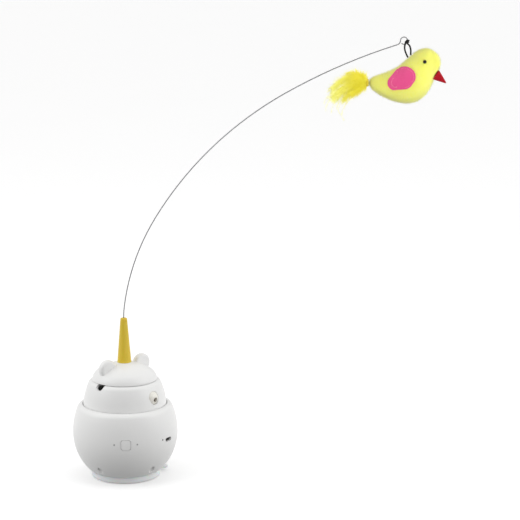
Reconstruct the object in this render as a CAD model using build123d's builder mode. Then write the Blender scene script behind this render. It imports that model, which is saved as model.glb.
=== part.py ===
from build123d import *
import os
from math import acos, asin, cos, degrees, radians, sin, sqrt, tan

# Automatic cat laser toy: a round, battery-driven base stands on a suction foot and turns a
# bear-eared head. The head carries a tiltable laser eye and a yellow holder with a spring-wire
# wand, and a plush bird hangs from the wand's eye on a short elastic loop.
# Millimetres. Origin at the centre of the foot's underside, +Z up along the head's axis, the
# wand bending over towards +X. Azimuths are measured from -Y towards +X.

# ---------------------------------------------------------------- base body
body_radius = 50.0
body_centre_z = 43.0
body_bottom_z = 7.0
shoulder_radius = 67.8
shoulder_angle = 21.0
lip_radius = 6.0
wall = 2.2
floor_thickness = 2.4
parting_z = 34.0
tongue_height = 2.0
fit_gap = 0.1
front = 4.3

# ---------------------------------------------------------------- foot and base plate
foot_setback = 1.5
foot_wall = 2.3
foot_web_z = 4.4
foot_web = 1.6
foot_contact_width = 3.2
foot_edge = 1.6
tab_azimuth = 107.0
tab_reach = 41.4
tab_width = 8.0
tab_thickness = 1.5
tab_z = 3.1
hatch_inset = 9.2
ballast_clearance = 2.0
ballast_thickness = 3.5

# ---------------------------------------------------------------- screws
well_inset = 9.8
well_azimuths = (front - 37.0, front + 37.0, front + 140.0, front - 140.0)
well_bore = 2.7
well_wall = 1.9
well_roof_z = 22.4
well_roof = 2.0
post_radius = 3.4
post_top_z = 65.0
rib_thickness = 1.6
screw_radius = 1.1
screw_head_radius = 2.1
screw_head_height = 1.5
screw_grip = 10.0

# ---------------------------------------------------------------- power cell
cell_radius = 9.1
cell_length = 65.0
cell_cap_radius = 3.0
cell_cap_height = 1.0
cradle_floor = 1.5
cradle_length = 60.0
cradle_width = 22.4

# ---------------------------------------------------------------- main board and its fittings
board_top_z = 40.8
board_thickness = 1.6
board_clearance = 5.8
pillar_inset = 8.0
usb_width = 8.94
usb_height = 3.26
usb_depth = 7.3
usb_skin = 0.3
usb_azimuth = front + 54.0
usb_recess = 1.7
charge_lens_azimuth = front + 44.2
lens_z = 43.8
lens_radius = 0.75
lens_azimuths = (front - 12.5, front + 12.5)
lens_gap = 0.05
button_z = 43.5
button_width = 9.0
button_height = 9.2
button_corner = 2.2
button_gap = 0.25
button_flange = 1.1
button_proud = 0.3
button_travel = 0.6
switch_width = 6.0
switch_height = 4.8
switch_depth = 3.6
plunger_radius = 1.2
plunger_reach = 1.2
plunger_seat = 1.4

# ---------------------------------------------------------------- gear deck
deck_z = 54.0
deck_thickness = 2.5
deck_clearance = 4.6
deck_screw_inset = 3.7
deck_boss_radius = 3.0
deck_boss_top_z = 66.0
pillar_azimuths = (110.0, 250.0, 340.0)
pillar_radius = 2.5
bush_wall = 1.75
bush_drop = 4.0
washer_thickness = 0.3

# ---------------------------------------------------------------- gear train
gear_module = 0.8
pressure_angle = 20.0
backlash = 0.24
output_teeth = 40
idler_small_teeth = 12
idler_large_teeth = 30
pinion_teeth = 10
idler_azimuth = 150.0
pinion_azimuth = -101.5
gear_width = 3.0
idler_pin_radius = 1.5
running_gap = 0.05
motor_width = 12.0
motor_depth = 10.0
gearbox_length = 9.0
motor_can_length = 15.0
motor_shaft_radius = 1.5

# ---------------------------------------------------------------- head
seam_gap = 0.7
band_setback = 10.3
band_foot_z = 68.1
band_turn_z = 71.0
band_lean_angle = 5.4
band_curve = 67.6
band_turn_angle = 17.8
band_edge = 5.5
band_wall = 2.0
band_roof_width = 10.9
turntable_thickness = 2.5
spindle_radius = 5.0
spindle_bore = 2.4
hub_radius = 8.0
clip_thickness = 0.8
clip_radius = 7.5
clip_groove = 0.8
ring_inset = 5.4
ring_pitch = 5.0
ring_width = 2.0
brush_width = 9.0
brush_depth = 8.0
brush_gap = 3.5
ring_thickness = 0.3
head_screw_azimuths = (0.0, 120.0, 240.0)
head_screw_inset = 6.7
head_boss_height = 8.0

# ---------------------------------------------------------------- cap and ears
cap_gap = 0.4
cap_lap = 2.1
cap_rim = 0.6
cap_lean_angle = 14.0
cap_curve = 13.0
cap_turn_angle = 42.0
cap_wall = 2.0
skirt_depth = 3.0
skirt_wall = 1.6
ear_azimuths = (-50.0, 130.0)
ear_circle = 19.8
ear_z = 107.2
ear_radius = 8.8
ear_thickness = 7.0
ear_edge = 2.6
notch_azimuths = (-40.5, 139.5)
notch_width = 8.8
notch_z = 89.5
socket_radius = 7.3
socket_depth = 12.0

# ---------------------------------------------------------------- laser eye
laser_azimuth = 51.0
laser_z = 81.2
laser_ball_radius = 7.5
laser_bulge = 1.9
laser_dip_angle = 8.0
laser_hole = 5.5
laser_gap = 0.25
aperture_radius = 2.4
aperture_depth = 2.0
laser_flat = 6.7
module_radius = 3.0
module_length = 10.0
lens_disc = 1.8
laser_board_width = 18.0
laser_board_depth = 12.0
laser_board_thickness = 1.2
laser_board_gap = 7.4
driver_width = 5.0
driver_depth = 4.0
driver_height = 1.3

# ---------------------------------------------------------------- wand
holder_radius = 6.65
holder_tip_radius = 3.15
holder_top_z = 153.8
plug_radius = 5.05
plug_gap = 0.1
wire_radius = 0.5
wire_foot_z = 124.0
wire_bends = ((84.3, 7.59), (218.1, 23.85), (335.8, 28.88), (533.6, 12.2))
crook_radius = 4.0
crook_angle = 72.0
eye_radius = 3.3
eye_angle = 315.0

# ---------------------------------------------------------------- elastic loop
# The loop runs up from the bird's back, over the wire inside the eye and down again.
cord_diameter = 1.4
loop_points = (
    (264.9, 0.0, 400.2),
    (260.9, -1.35, 407.4),
    (262.6, -1.35, 414.6),
    (262.6, 1.35, 414.6),
    (268.2, 1.35, 409.2),
    (267.3, 0.0, 402.3),
)

# ---------------------------------------------------------------- plush bird
# Sections of the body from tail to forehead: place along X, height of the middle, half height
# and half width.
bird_sections = (
    (229.5, 376.8, 3.6, 3.2),
    (238.0, 375.5, 8.2, 6.8),
    (248.0, 374.2, 12.3, 10.4),
    (258.0, 375.2, 16.2, 13.0),
    (266.0, 379.0, 20.6, 14.2),
    (274.0, 383.2, 23.4, 14.4),
    (282.0, 387.6, 21.2, 13.2),
    (286.4, 390.7, 16.4, 11.5),
    (289.0, 393.7, 12.0, 9.9),
    (292.3, 395.0, 7.6, 7.2),
    (294.6, 395.6, 3.0, 3.0),
)
wing_thickness = 1.2
wing_front = (262.8, 383.9, 8.3)
wing_rear = (252.1, 377.5, 5.9)
bead_radius = 1.6
bead_spot = (279.5, 11.9, 397.4)
beak_root = (290.4, 384.6)
beak_tip = (300.4, 376.6)
beak_height = 5.6
beak_width = 4.8
beak_sunk = 2.0
feather_sections = (
    (227.0, 376.9, 3.4, 3.2),
    (219.0, 378.0, 8.6, 6.0),
    (208.0, 376.0, 11.0, 7.5),
    (199.0, 371.0, 8.6, 6.0),
    (194.0, 366.5, 3.6, 3.0),
)
tie_width = 2.3
tie_height = 2.6
binding_width = 1.8
binding_thickness = 1.4

os.makedirs("parts", exist_ok=True)


def polar(radius, azimuth, z):
    """A point at a radius from the head's axis, in the direction of an azimuth."""
    return (radius * sin(radians(azimuth)), -radius * cos(radians(azimuth)), z)


def facing(radius, azimuth, z, dip=0.0):
    """A plane at a point round the axis that looks outwards, dip degrees below level."""
    a, d = radians(azimuth), radians(dip)
    outwards = (sin(a) * cos(d), -cos(a) * cos(d), -sin(d))
    return Plane(origin=polar(radius, azimuth, z), x_dir=(cos(a), sin(a), 0), z_dir=outwards)


def finish(piece, name):
    """Name a finished piece and write it out."""
    piece.part.label = name
    export_step(piece.part, f"parts/{name}.step")


# ================================================================ base body
# The side line is a sphere from the foot up to the widest line, a flatter arc above it and a
# rounded lip that rolls in to the throat where the head turns.
band_radius = body_radius - band_setback
band_opening = band_radius - band_roof_width
throat_radius = band_radius + seam_gap
cavity_radius = body_radius - wall
board_radius = cavity_radius - board_clearance
pillar_circle = board_radius - pillar_inset
deck_radius = cavity_radius - deck_clearance
deck_screw_circle = deck_radius - deck_screw_inset
well_circle = body_radius - well_inset
foot_radius = sqrt(body_radius**2 - (body_bottom_z - body_centre_z) ** 2) - foot_setback
hatch_radius = foot_radius - hatch_inset
lip_centre = body_radius - shoulder_radius + (shoulder_radius - lip_radius) * cos(radians(shoulder_angle))
mouth_z = body_centre_z + (shoulder_radius + lip_radius) * sin(radians(shoulder_angle))
cavity_floor_z = body_bottom_z + floor_thickness
ballast_radius = sqrt(cavity_radius**2 - (cavity_floor_z - body_centre_z) ** 2) - ballast_clearance


def body_blank(inset, floor_z):
    """Half section of the filled body, its side moved inwards and its floor at a given height."""
    radius = body_radius - inset
    start = degrees(asin((floor_z - body_centre_z) / radius))
    lip_end = degrees(acos((throat_radius - lip_centre) / (lip_radius - inset)))
    with BuildSketch(Plane.XZ) as blank:
        with BuildLine():
            flank = CenterArc((0, body_centre_z), radius, start, -start)
            shoulder = JernArc(flank @ 1, (0, 1), shoulder_radius - inset, shoulder_angle)
            lip = JernArc(shoulder @ 1, shoulder % 1, lip_radius - inset, lip_end - shoulder_angle)
            Polyline(lip @ 1, (throat_radius, mouth_z), (0, mouth_z), (0, floor_z), flank @ 0)
        make_face()
    return blank.sketch


body_outside = body_blank(0, body_bottom_z)
body_inside = body_blank(wall, cavity_floor_z)
body_middle = body_blank(wall / 2, (body_bottom_z + cavity_floor_z) / 2)
parting = Plane.XY.offset(parting_z)
parting_inner = sqrt((body_radius - wall) ** 2 - (parting_z - body_centre_z) ** 2)
tongue_radius = parting_inner + wall / 2
post_foot_z = well_roof_z + well_roof
well_spots = [polar(well_circle, azimuth, 0) for azimuth in well_azimuths]
deck_top_z = deck_z + deck_thickness
deck_spots = [polar(deck_screw_circle, front + 90.0 * step, 0) for step in range(4)]

# Wells in the lower shell let the housing screws in from below. They break out through the
# round flank as four scallops.
with BuildPart() as screw_wells:
    with BuildSketch(Plane.XY.offset(body_bottom_z)):
        with Locations(*well_spots):
            Circle(well_bore + well_wall)
    extrude(amount=post_foot_z - body_bottom_z)
    revolve(body_middle, axis=Axis.Z, mode=Mode.INTERSECT)

with BuildPart() as lower_shell:
    revolve(body_outside, axis=Axis.Z)
    revolve(body_inside, axis=Axis.Z, mode=Mode.SUBTRACT)
    add(screw_wells.part)
    split(bisect_by=parting, keep=Keep.BOTTOM)
    with BuildSketch(parting.offset(-1.0)):
        Circle(tongue_radius)
        Circle(parting_inner, mode=Mode.SUBTRACT)
    extrude(amount=tongue_height + 1.0)
    with BuildSketch():
        with Locations(*well_spots):
            Circle(well_bore)
    extrude(amount=well_roof_z, mode=Mode.SUBTRACT)
    with BuildSketch(Plane.XY.offset(well_roof_z)):
        with Locations(*well_spots):
            Circle(screw_radius)
    extrude(amount=well_roof, mode=Mode.SUBTRACT)
    with BuildSketch(Plane.XY.offset(body_bottom_z)):
        Circle(hatch_radius)
    extrude(amount=floor_thickness, mode=Mode.SUBTRACT)
    base_screw_circle = (hatch_radius + foot_radius - foot_wall) / 2
    with BuildSketch(Plane.XY.offset(body_bottom_z)):
        with PolarLocations(base_screw_circle, 3, start_angle=90):
            Circle(screw_radius)
    extrude(amount=floor_thickness, mode=Mode.SUBTRACT)
finish(lower_shell, "lower_shell")

# Posts take the housing screws and short bosses take the gear deck, each tied to the wall by
# a rib.
with BuildPart() as shell_posts:
    with BuildSketch(Plane.XY.offset(post_foot_z)):
        with Locations(*well_spots):
            Circle(post_radius)
    extrude(amount=post_top_z - post_foot_z)
    with BuildSketch(Plane.XY.offset(deck_top_z)):
        with Locations(*deck_spots):
            Circle(deck_boss_radius)
    extrude(amount=deck_boss_top_z - deck_top_z)
    for azimuth in well_azimuths + tuple(front + 90.0 * step for step in range(4)):
        with BuildSketch(facing(deck_screw_circle, azimuth, (deck_top_z + post_top_z) / 2)):
            Rectangle(rib_thickness, post_top_z - deck_top_z)
        extrude(amount=body_radius - deck_screw_circle)
    revolve(body_middle, axis=Axis.Z, mode=Mode.INTERSECT)

button_plane = facing(0, front, button_z)
with BuildPart() as upper_shell:
    revolve(body_outside, axis=Axis.Z)
    revolve(body_inside, axis=Axis.Z, mode=Mode.SUBTRACT)
    split(bisect_by=parting, keep=Keep.TOP)
    with BuildSketch(parting):
        Circle(tongue_radius + fit_gap)
        Circle(parting_inner - 1.0, mode=Mode.SUBTRACT)
    extrude(amount=tongue_height + fit_gap, mode=Mode.SUBTRACT)
    add(shell_posts.part)
    with BuildSketch(Plane.XY.offset(post_foot_z)):
        with Locations(*well_spots):
            Circle(screw_radius)
    extrude(amount=screw_grip, mode=Mode.SUBTRACT)
    with BuildSketch(Plane.XY.offset(deck_top_z)):
        with Locations(*deck_spots):
            Circle(screw_radius)
    extrude(amount=screw_grip / 2, mode=Mode.SUBTRACT)
    with BuildSketch(button_plane):
        RectangleRounded(button_width + 2 * button_gap, button_height + 2 * button_gap, button_corner)
    extrude(amount=body_radius + 1.0, mode=Mode.SUBTRACT)
    for azimuth in lens_azimuths + (charge_lens_azimuth,):
        with BuildSketch(facing(0, azimuth, lens_z)):
            Circle(lens_radius + lens_gap)
        extrude(amount=body_radius + 1.0, mode=Mode.SUBTRACT)
    with BuildSketch(facing(board_radius, usb_azimuth, board_top_z + usb_height / 2)):
        SlotOverall(usb_width + 4 * fit_gap, usb_height + 4 * fit_gap)
    extrude(amount=body_radius - board_radius + 1.0, mode=Mode.SUBTRACT)
finish(upper_shell, "upper_shell")

with BuildPart() as housing_screws:
    for spot in well_spots:
        with BuildSketch(Plane.XY.offset(well_roof_z - screw_head_height)):
            with Locations(spot):
                Circle(screw_head_radius)
        extrude(amount=screw_head_height)
        with BuildSketch(Plane.XY.offset(well_roof_z)):
            with Locations(spot):
                Circle(screw_radius)
        extrude(amount=well_roof + screw_grip - 1.0)
finish(housing_screws, "housing_screws")

# ================================================================ foot and base plate
plate_radius = foot_radius - foot_wall
contact_inner = foot_radius - foot_edge - foot_contact_width
cup_height = foot_web_z - foot_web
cup_curve = (contact_inner**2 + cup_height**2) / (2 * cup_height)
cup_angle = degrees(asin(contact_inner / cup_curve))
with BuildPart() as suction_foot:
    with BuildSketch(Plane.XZ):
        with BuildLine():
            rim = Polyline(
                (0, foot_web_z),
                (plate_radius, foot_web_z),
                (plate_radius, body_bottom_z - 0.2),
                (foot_radius - foot_wall / 4, body_bottom_z - 0.2),
                (foot_radius, foot_web_z + 0.6),
                (foot_radius, foot_edge),
            )
            edge = RadiusArc(rim @ 1, (foot_radius - foot_edge, 0), foot_edge)
            Line(edge @ 1, (contact_inner, 0))
            cup = CenterArc((0, cup_height - cup_curve), cup_curve, 90, -cup_angle)
            Line(cup @ 0, rim @ 0)
        make_face()
    revolve(axis=Axis.Z)
    tab_stem = tab_reach - tab_width / 2 - foot_radius + foot_wall / 2
    tab_mid = foot_radius - foot_wall / 2 + tab_stem / 2
    with BuildSketch(Plane.XY.offset(tab_z)):
        with Locations(Location(polar(tab_mid, tab_azimuth, 0), tab_azimuth - 90)):
            Rectangle(tab_stem, tab_width)
        with Locations(polar(tab_reach - tab_width / 2, tab_azimuth, 0)):
            Circle(tab_width / 2)
    extrude(amount=tab_thickness)
finish(suction_foot, "suction_foot")

with BuildPart() as base_plate:
    with BuildSketch(Plane.XY.offset(foot_web_z)):
        Circle(plate_radius)
    extrude(amount=body_bottom_z - foot_web_z)
    with BuildSketch(Plane.XY.offset(body_bottom_z)):
        Circle(hatch_radius - fit_gap)
    extrude(amount=floor_thickness)
    with BuildSketch(Plane.XY.offset(foot_web_z)):
        with PolarLocations(base_screw_circle, 3, start_angle=90):
            Circle(screw_head_radius + fit_gap)
    extrude(amount=screw_head_height, mode=Mode.SUBTRACT)
    with BuildSketch(Plane.XY.offset(foot_web_z)):
        with PolarLocations(base_screw_circle, 3, start_angle=90):
            Circle(screw_radius)
    extrude(amount=body_bottom_z - foot_web_z, mode=Mode.SUBTRACT)
finish(base_plate, "base_plate")

with BuildPart() as base_screws:
    with BuildSketch(Plane.XY.offset(foot_web_z)):
        with PolarLocations(base_screw_circle, 3, start_angle=90):
            Circle(screw_head_radius)
    extrude(amount=screw_head_height)
    with BuildSketch(Plane.XY.offset(foot_web_z)):
        with PolarLocations(base_screw_circle, 3, start_angle=90):
            Circle(screw_radius)
    extrude(amount=cavity_floor_z - foot_web_z)
finish(base_screws, "base_screws")

with BuildPart() as ballast_plate:
    with BuildSketch(Plane.XY.offset(cavity_floor_z)):
        Circle(ballast_radius)
    extrude(amount=ballast_thickness)
    chamfer(ballast_plate.edges().filter_by(GeomType.CIRCLE), 0.6)
finish(ballast_plate, "ballast_plate")

# ================================================================ power cell in its cradle
cradle_z = cavity_floor_z + ballast_thickness
cell_z = cradle_z + cradle_floor + fit_gap + cell_radius
with BuildPart() as battery:
    with BuildSketch(Plane.YZ.offset(-cell_length / 2)):
        with Locations((0, cell_z)):
            Circle(cell_radius)
    extrude(amount=cell_length - cell_cap_height)
    fillet(battery.edges().filter_by(GeomType.CIRCLE), 0.6)
    with BuildSketch(Plane.YZ.offset(cell_length / 2 - cell_cap_height)):
        with Locations((0, cell_z)):
            Circle(cell_cap_radius)
    extrude(amount=cell_cap_height)
finish(battery, "battery")

with BuildPart() as battery_cradle:
    with BuildSketch(Plane.YZ.offset(-cradle_length / 2)):
        with Locations((0, (cradle_z + cell_z) / 2)):
            Rectangle(cradle_width, cell_z - cradle_z)
        with Locations((0, cell_z)):
            Circle(cell_radius + fit_gap, mode=Mode.SUBTRACT)
    extrude(amount=cradle_length)
finish(battery_cradle, "battery_cradle")

# ================================================================ gears
# Every gear is a true spur gear: involute flanks from base circle to tip, each drawn as an arc
# through three points of the involute, and thinned for backlash.
def involute(base, radius):
    """Angle by which an involute has left its root on the base circle at a radius."""
    slope = sqrt(max((radius / base) ** 2 - 1, 0))
    return degrees(slope) - degrees(acos(min(base / radius, 1)))


def gear_face(teeth, bore, phase):
    """Spur gear outline about the origin, one tooth centred at the angle phase."""
    pitch = gear_module * teeth / 2
    base = pitch * cos(radians(pressure_angle))
    tip = pitch + gear_module
    root = pitch - 1.25 * gear_module
    half_tooth = 90 / teeth - degrees(backlash / 2 / pitch) / 2
    half_base = half_tooth + involute(base, pitch)
    foot = max(base, root)
    flank = [(r, half_base - involute(base, r)) for r in (foot, (foot + tip) / 2, tip)]
    left = [Vector(r * cos(radians(a)), r * sin(radians(a))) for r, a in flank]
    right = [Vector(r * cos(radians(a)), -r * sin(radians(a))) for r, a in flank]
    heel = root * cos(radians(flank[0][1])) * 0.9
    with BuildSketch() as tooth:
        with BuildLine():
            ThreePointArc(*left)
            ThreePointArc(left[2], (tip, 0), right[2])
            ThreePointArc(*right)
            Polyline(right[0], (heel, right[0].Y), (heel, left[0].Y), left[0])
        make_face()
    with BuildSketch() as gear:
        Circle(root)
        with PolarLocations(0, teeth, start_angle=phase):
            add(tooth.sketch)
        Circle(bore, mode=Mode.SUBTRACT)
    return gear.sketch


idler_distance = gear_module * (output_teeth + idler_small_teeth) / 2
pinion_distance = gear_module * (idler_large_teeth + pinion_teeth) / 2
idler_spot = Vector(*polar(idler_distance, idler_azimuth, 0))
pinion_spot = idler_spot + Vector(*polar(pinion_distance, pinion_azimuth, 0))
# Angles of the two lines of centres, from +X: each driving gear has a tooth on its line and
# its partner a gap.
idler_line = idler_azimuth - 90
pinion_line = pinion_azimuth - 90
washer_z = deck_top_z + 0.5
hub_z = washer_z + washer_thickness + fit_gap
idler_z = deck_top_z + 0.8
idler_step_z = idler_z + gear_width - 0.5
output_z = idler_step_z + 0.8
idler_top_z = output_z + gear_width + 1.0

with BuildPart() as output_gear:
    with BuildSketch(Plane.XY.offset(output_z)):
        add(gear_face(output_teeth, spindle_radius, idler_line))
    extrude(amount=gear_width)
    with BuildSketch(Plane.XY.offset(hub_z)):
        Circle(idler_distance - gear_module * (idler_large_teeth + 2) / 2 - 0.8)
        Circle(spindle_radius, mode=Mode.SUBTRACT)
    extrude(amount=output_z - hub_z)
finish(output_gear, "output_gear")

with BuildPart() as idler_gear:
    with BuildSketch(Plane.XY.offset(idler_z)):
        with Locations(idler_spot):
            add(gear_face(idler_large_teeth, idler_pin_radius + running_gap, pinion_line))
    extrude(amount=idler_step_z - idler_z)
    with BuildSketch(Plane.XY.offset(idler_step_z)):
        with Locations(idler_spot):
            half_pitch = 180 / idler_small_teeth
            add(gear_face(idler_small_teeth, idler_pin_radius + running_gap, idler_line + 180 + half_pitch))
    extrude(amount=idler_top_z - idler_step_z)
finish(idler_gear, "idler_gear")

with BuildPart() as motor_pinion:
    with BuildSketch(Plane.XY.offset(idler_z)):
        with Locations(pinion_spot):
            half_pitch = 180 / pinion_teeth
            add(gear_face(pinion_teeth, motor_shaft_radius, pinion_line + 180 + half_pitch))
    extrude(amount=gear_width - 0.2)
finish(motor_pinion, "motor_pinion")

# ================================================================ gear deck
bush_radius = spindle_radius + running_gap + bush_wall
bush_z = deck_z - bush_drop
motor_screw_spots = [pinion_spot + Vector(side * motor_width * 0.375, 0) for side in (-1, 1)]
pillar_spots = [polar(pillar_circle, azimuth, 0) for azimuth in pillar_azimuths]
with BuildPart() as deck:
    with BuildSketch(Plane.XY.offset(deck_z)):
        Circle(deck_radius)
    extrude(amount=deck_thickness)
    with BuildSketch(Plane.XY.offset(deck_z - 3.0)):
        Circle(deck_radius)
        Circle(deck_radius - 1.2, mode=Mode.SUBTRACT)
    extrude(amount=3.0)
    with BuildSketch(Plane.XY.offset(bush_z)):
        Circle(bush_radius + 2.7)
    extrude(amount=bush_drop)
    with BuildSketch(Plane.XY.offset(deck_top_z)):
        with Locations(idler_spot):
            Circle(idler_pin_radius + 1.5)
    extrude(amount=idler_z - deck_top_z - fit_gap)
    with BuildSketch(Plane.XY.offset(board_top_z)):
        with Locations(*pillar_spots):
            Circle(pillar_radius)
    extrude(amount=deck_z - board_top_z)
    with BuildSketch(Plane.XY.offset(bush_z)):
        Circle(bush_radius)
        with Locations(*well_spots):
            Circle(post_radius + 4 * fit_gap)
        with Locations(idler_spot):
            Circle(idler_pin_radius)
    extrude(amount=deck_z - bush_z + deck_thickness + 1.0, mode=Mode.SUBTRACT)
    with BuildSketch(Plane.XY.offset(deck_z)):
        with Locations(pinion_spot):
            Circle(motor_shaft_radius + 0.5)
        with Locations(*motor_screw_spots):
            Circle(screw_radius * 0.75)
        with Locations(*deck_spots):
            Circle(screw_radius)
    extrude(amount=deck_thickness, mode=Mode.SUBTRACT)
    with BuildSketch(Plane.XY.offset(deck_top_z - 0.8)):
        with Locations(*motor_screw_spots):
            Circle(screw_radius * 1.5)
    extrude(amount=0.8, mode=Mode.SUBTRACT)
    with BuildSketch(Plane.XY.offset(board_top_z)):
        with Locations(*pillar_spots):
            Circle(screw_radius)
    extrude(amount=screw_grip / 2, mode=Mode.SUBTRACT)
finish(deck, "deck")

with BuildPart() as deck_screws:
    with BuildSketch(Plane.XY.offset(deck_z - screw_head_height)):
        with Locations(*deck_spots):
            Circle(screw_head_radius)
    extrude(amount=screw_head_height)
    with BuildSketch(Plane.XY.offset(deck_z)):
        with Locations(*deck_spots):
            Circle(screw_radius)
    extrude(amount=deck_thickness + screw_grip / 2)
finish(deck_screws, "deck_screws")

with BuildPart() as spindle_bush:
    with BuildSketch(Plane.XY.offset(bush_z)):
        Circle(bush_radius)
        Circle(spindle_radius + running_gap, mode=Mode.SUBTRACT)
    extrude(amount=washer_z - bush_z)
finish(spindle_bush, "spindle_bush")

with BuildPart() as thrust_washer:
    with BuildSketch(Plane.XY.offset(washer_z)):
        Circle(bush_radius + 0.3)
        Circle(spindle_radius + 2 * fit_gap, mode=Mode.SUBTRACT)
    extrude(amount=washer_thickness)
finish(thrust_washer, "thrust_washer")

with BuildPart() as idler_pin:
    with BuildSketch(Plane.XY.offset(deck_z)):
        with Locations(idler_spot):
            Circle(idler_pin_radius)
    extrude(amount=idler_top_z + 1.8 - deck_z)
    with BuildSketch(Plane.XY.offset(deck_z - 1.0)):
        with Locations(idler_spot):
            Circle(idler_pin_radius + 1.2)
    extrude(amount=1.0)
    with BuildSketch(Plane.XY.offset(idler_top_z + 0.2)):
        with Locations(idler_spot):
            Circle(idler_pin_radius + 1.5)
    extrude(amount=clip_thickness)
finish(idler_pin, "idler_pin")

# ================================================================ gear motor
with BuildPart() as motor:
    with BuildSketch(Plane.XY.offset(deck_z - gearbox_length)):
        with Locations(pinion_spot):
            RectangleRounded(motor_width, motor_depth, 0.6)
    extrude(amount=gearbox_length)
    with BuildSketch(Plane.XY.offset(deck_z - gearbox_length - motor_can_length)):
        with Locations(pinion_spot):
            Circle(motor_width / 2)
            Rectangle(motor_width, motor_depth, mode=Mode.INTERSECT)
    extrude(amount=motor_can_length)
    with BuildSketch(Plane.XY.offset(deck_z - gearbox_length)):
        with Locations(pinion_spot):
            Circle(motor_shaft_radius + running_gap)
        with Locations(*motor_screw_spots):
            Circle(screw_radius * 0.75)
    extrude(amount=gearbox_length, mode=Mode.SUBTRACT)
finish(motor, "motor")

with BuildPart() as motor_screws:
    with BuildSketch(Plane.XY.offset(deck_z - 3.0)):
        with Locations(*motor_screw_spots):
            Circle(screw_radius * 0.75)
    extrude(amount=3.0 + deck_thickness - 0.8)
    with BuildSketch(Plane.XY.offset(deck_top_z - 0.8)):
        with Locations(*motor_screw_spots):
            Circle(screw_radius * 1.5)
    extrude(amount=0.8)
finish(motor_screws, "motor_screws")

with BuildPart() as motor_shaft:
    with BuildSketch(Plane.XY.offset(deck_z - gearbox_length + 1.0)):
        with Locations(pinion_spot):
            Circle(motor_shaft_radius)
    extrude(amount=gearbox_length - 1.0 + idler_z - deck_z + gear_width + 0.4)
finish(motor_shaft, "motor_shaft")

# ================================================================ main board
with BuildPart() as main_board:
    with BuildSketch(Plane.XY.offset(board_top_z - board_thickness)):
        Circle(board_radius)
        with Locations(*well_spots):
            Circle(post_radius + 4 * fit_gap, mode=Mode.SUBTRACT)
        with Locations(pinion_spot):
            Rectangle(motor_width + 1.0, motor_depth + 1.0, mode=Mode.SUBTRACT)
        with Locations(*pillar_spots):
            Circle(screw_radius, mode=Mode.SUBTRACT)
        Circle(spindle_radius + 1.0, mode=Mode.SUBTRACT)
    extrude(amount=board_thickness)
finish(main_board, "main_board")

with BuildPart() as board_screws:
    with BuildSketch(Plane.XY.offset(board_top_z - board_thickness - screw_head_height)):
        with Locations(*pillar_spots):
            Circle(screw_head_radius)
    extrude(amount=screw_head_height)
    with BuildSketch(Plane.XY.offset(board_top_z - board_thickness)):
        with Locations(*pillar_spots):
            Circle(screw_radius)
    extrude(amount=board_thickness + screw_grip / 2)
finish(board_screws, "board_screws")

switch_centre_z = board_top_z + switch_height / 2
with BuildPart() as tact_switch:
    with BuildSketch(facing(board_radius - switch_depth, front, switch_centre_z)):
        RectangleRounded(switch_width, switch_height, 0.4)
    extrude(amount=switch_depth)
    with BuildSketch(facing(board_radius, front, button_z)):
        Circle(plunger_radius + fit_gap)
    extrude(amount=-plunger_seat - button_travel - 8 * fit_gap, mode=Mode.SUBTRACT)
finish(tact_switch, "tact_switch")

with BuildPart() as switch_plunger:
    with BuildSketch(facing(board_radius + plunger_reach, front, button_z)):
        Circle(plunger_radius)
    extrude(amount=-plunger_reach - plunger_seat)
finish(switch_plunger, "switch_plunger")

# The button's face follows the round body and stands slightly proud of it. A flange behind
# the wall keeps it in, and a stem reaches the switch.
flange_width = button_width + 2.2
flange_height = button_height + 2.2
flange_front = sqrt((body_radius - wall) ** 2 - (flange_width / 2) ** 2 - (flange_height / 2) ** 2) - 0.2
with BuildPart() as power_button:
    with BuildSketch(facing(flange_front, front, button_z)):
        RectangleRounded(button_width, button_height, button_corner)
    extrude(amount=body_radius - flange_front + 3.0)
    with Locations((0, 0, body_centre_z)):
        Sphere(body_radius + button_proud, mode=Mode.INTERSECT)
    with BuildSketch(facing(flange_front - button_flange, front, button_z)):
        RectangleRounded(flange_width, flange_height, button_corner)
    extrude(amount=button_flange)
    with BuildSketch(facing(board_radius + plunger_reach, front, button_z)):
        Circle(plunger_radius)
    extrude(amount=flange_front - button_flange - board_radius - plunger_reach)
finish(power_button, "power_button")

usb_centre_z = board_top_z + usb_height / 2
usb_front = body_radius - usb_recess
with BuildPart() as usb_socket:
    with BuildSketch(facing(usb_front - usb_depth, usb_azimuth, usb_centre_z)):
        SlotOverall(usb_width, usb_height)
        SlotOverall(usb_width - 2 * usb_skin, usb_height - 2 * usb_skin, mode=Mode.SUBTRACT)
    extrude(amount=usb_depth)
finish(usb_socket, "usb_socket")

with BuildPart() as usb_tongue:
    with BuildSketch(facing(usb_front - usb_depth, usb_azimuth, usb_centre_z)):
        SlotOverall(usb_width - 2 * usb_skin, usb_height - 2 * usb_skin)
    extrude(amount=1.6)
    with BuildSketch(facing(usb_front - usb_depth, usb_azimuth, usb_centre_z)):
        Rectangle(usb_width * 0.75, 0.7)
    extrude(amount=usb_depth - 1.0)
finish(usb_tongue, "usb_tongue")

lens_length = wall + 4.0
with BuildPart() as status_lenses:
    for azimuth in lens_azimuths:
        with BuildSketch(facing(body_radius - lens_length, azimuth, lens_z)):
            Circle(lens_radius)
        extrude(amount=lens_length)
finish(status_lenses, "status_lenses")

with BuildPart() as charge_lens:
    with BuildSketch(facing(body_radius - lens_length, charge_lens_azimuth, lens_z)):
        Circle(lens_radius)
    extrude(amount=lens_length)
finish(charge_lens, "charge_lens")

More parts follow.
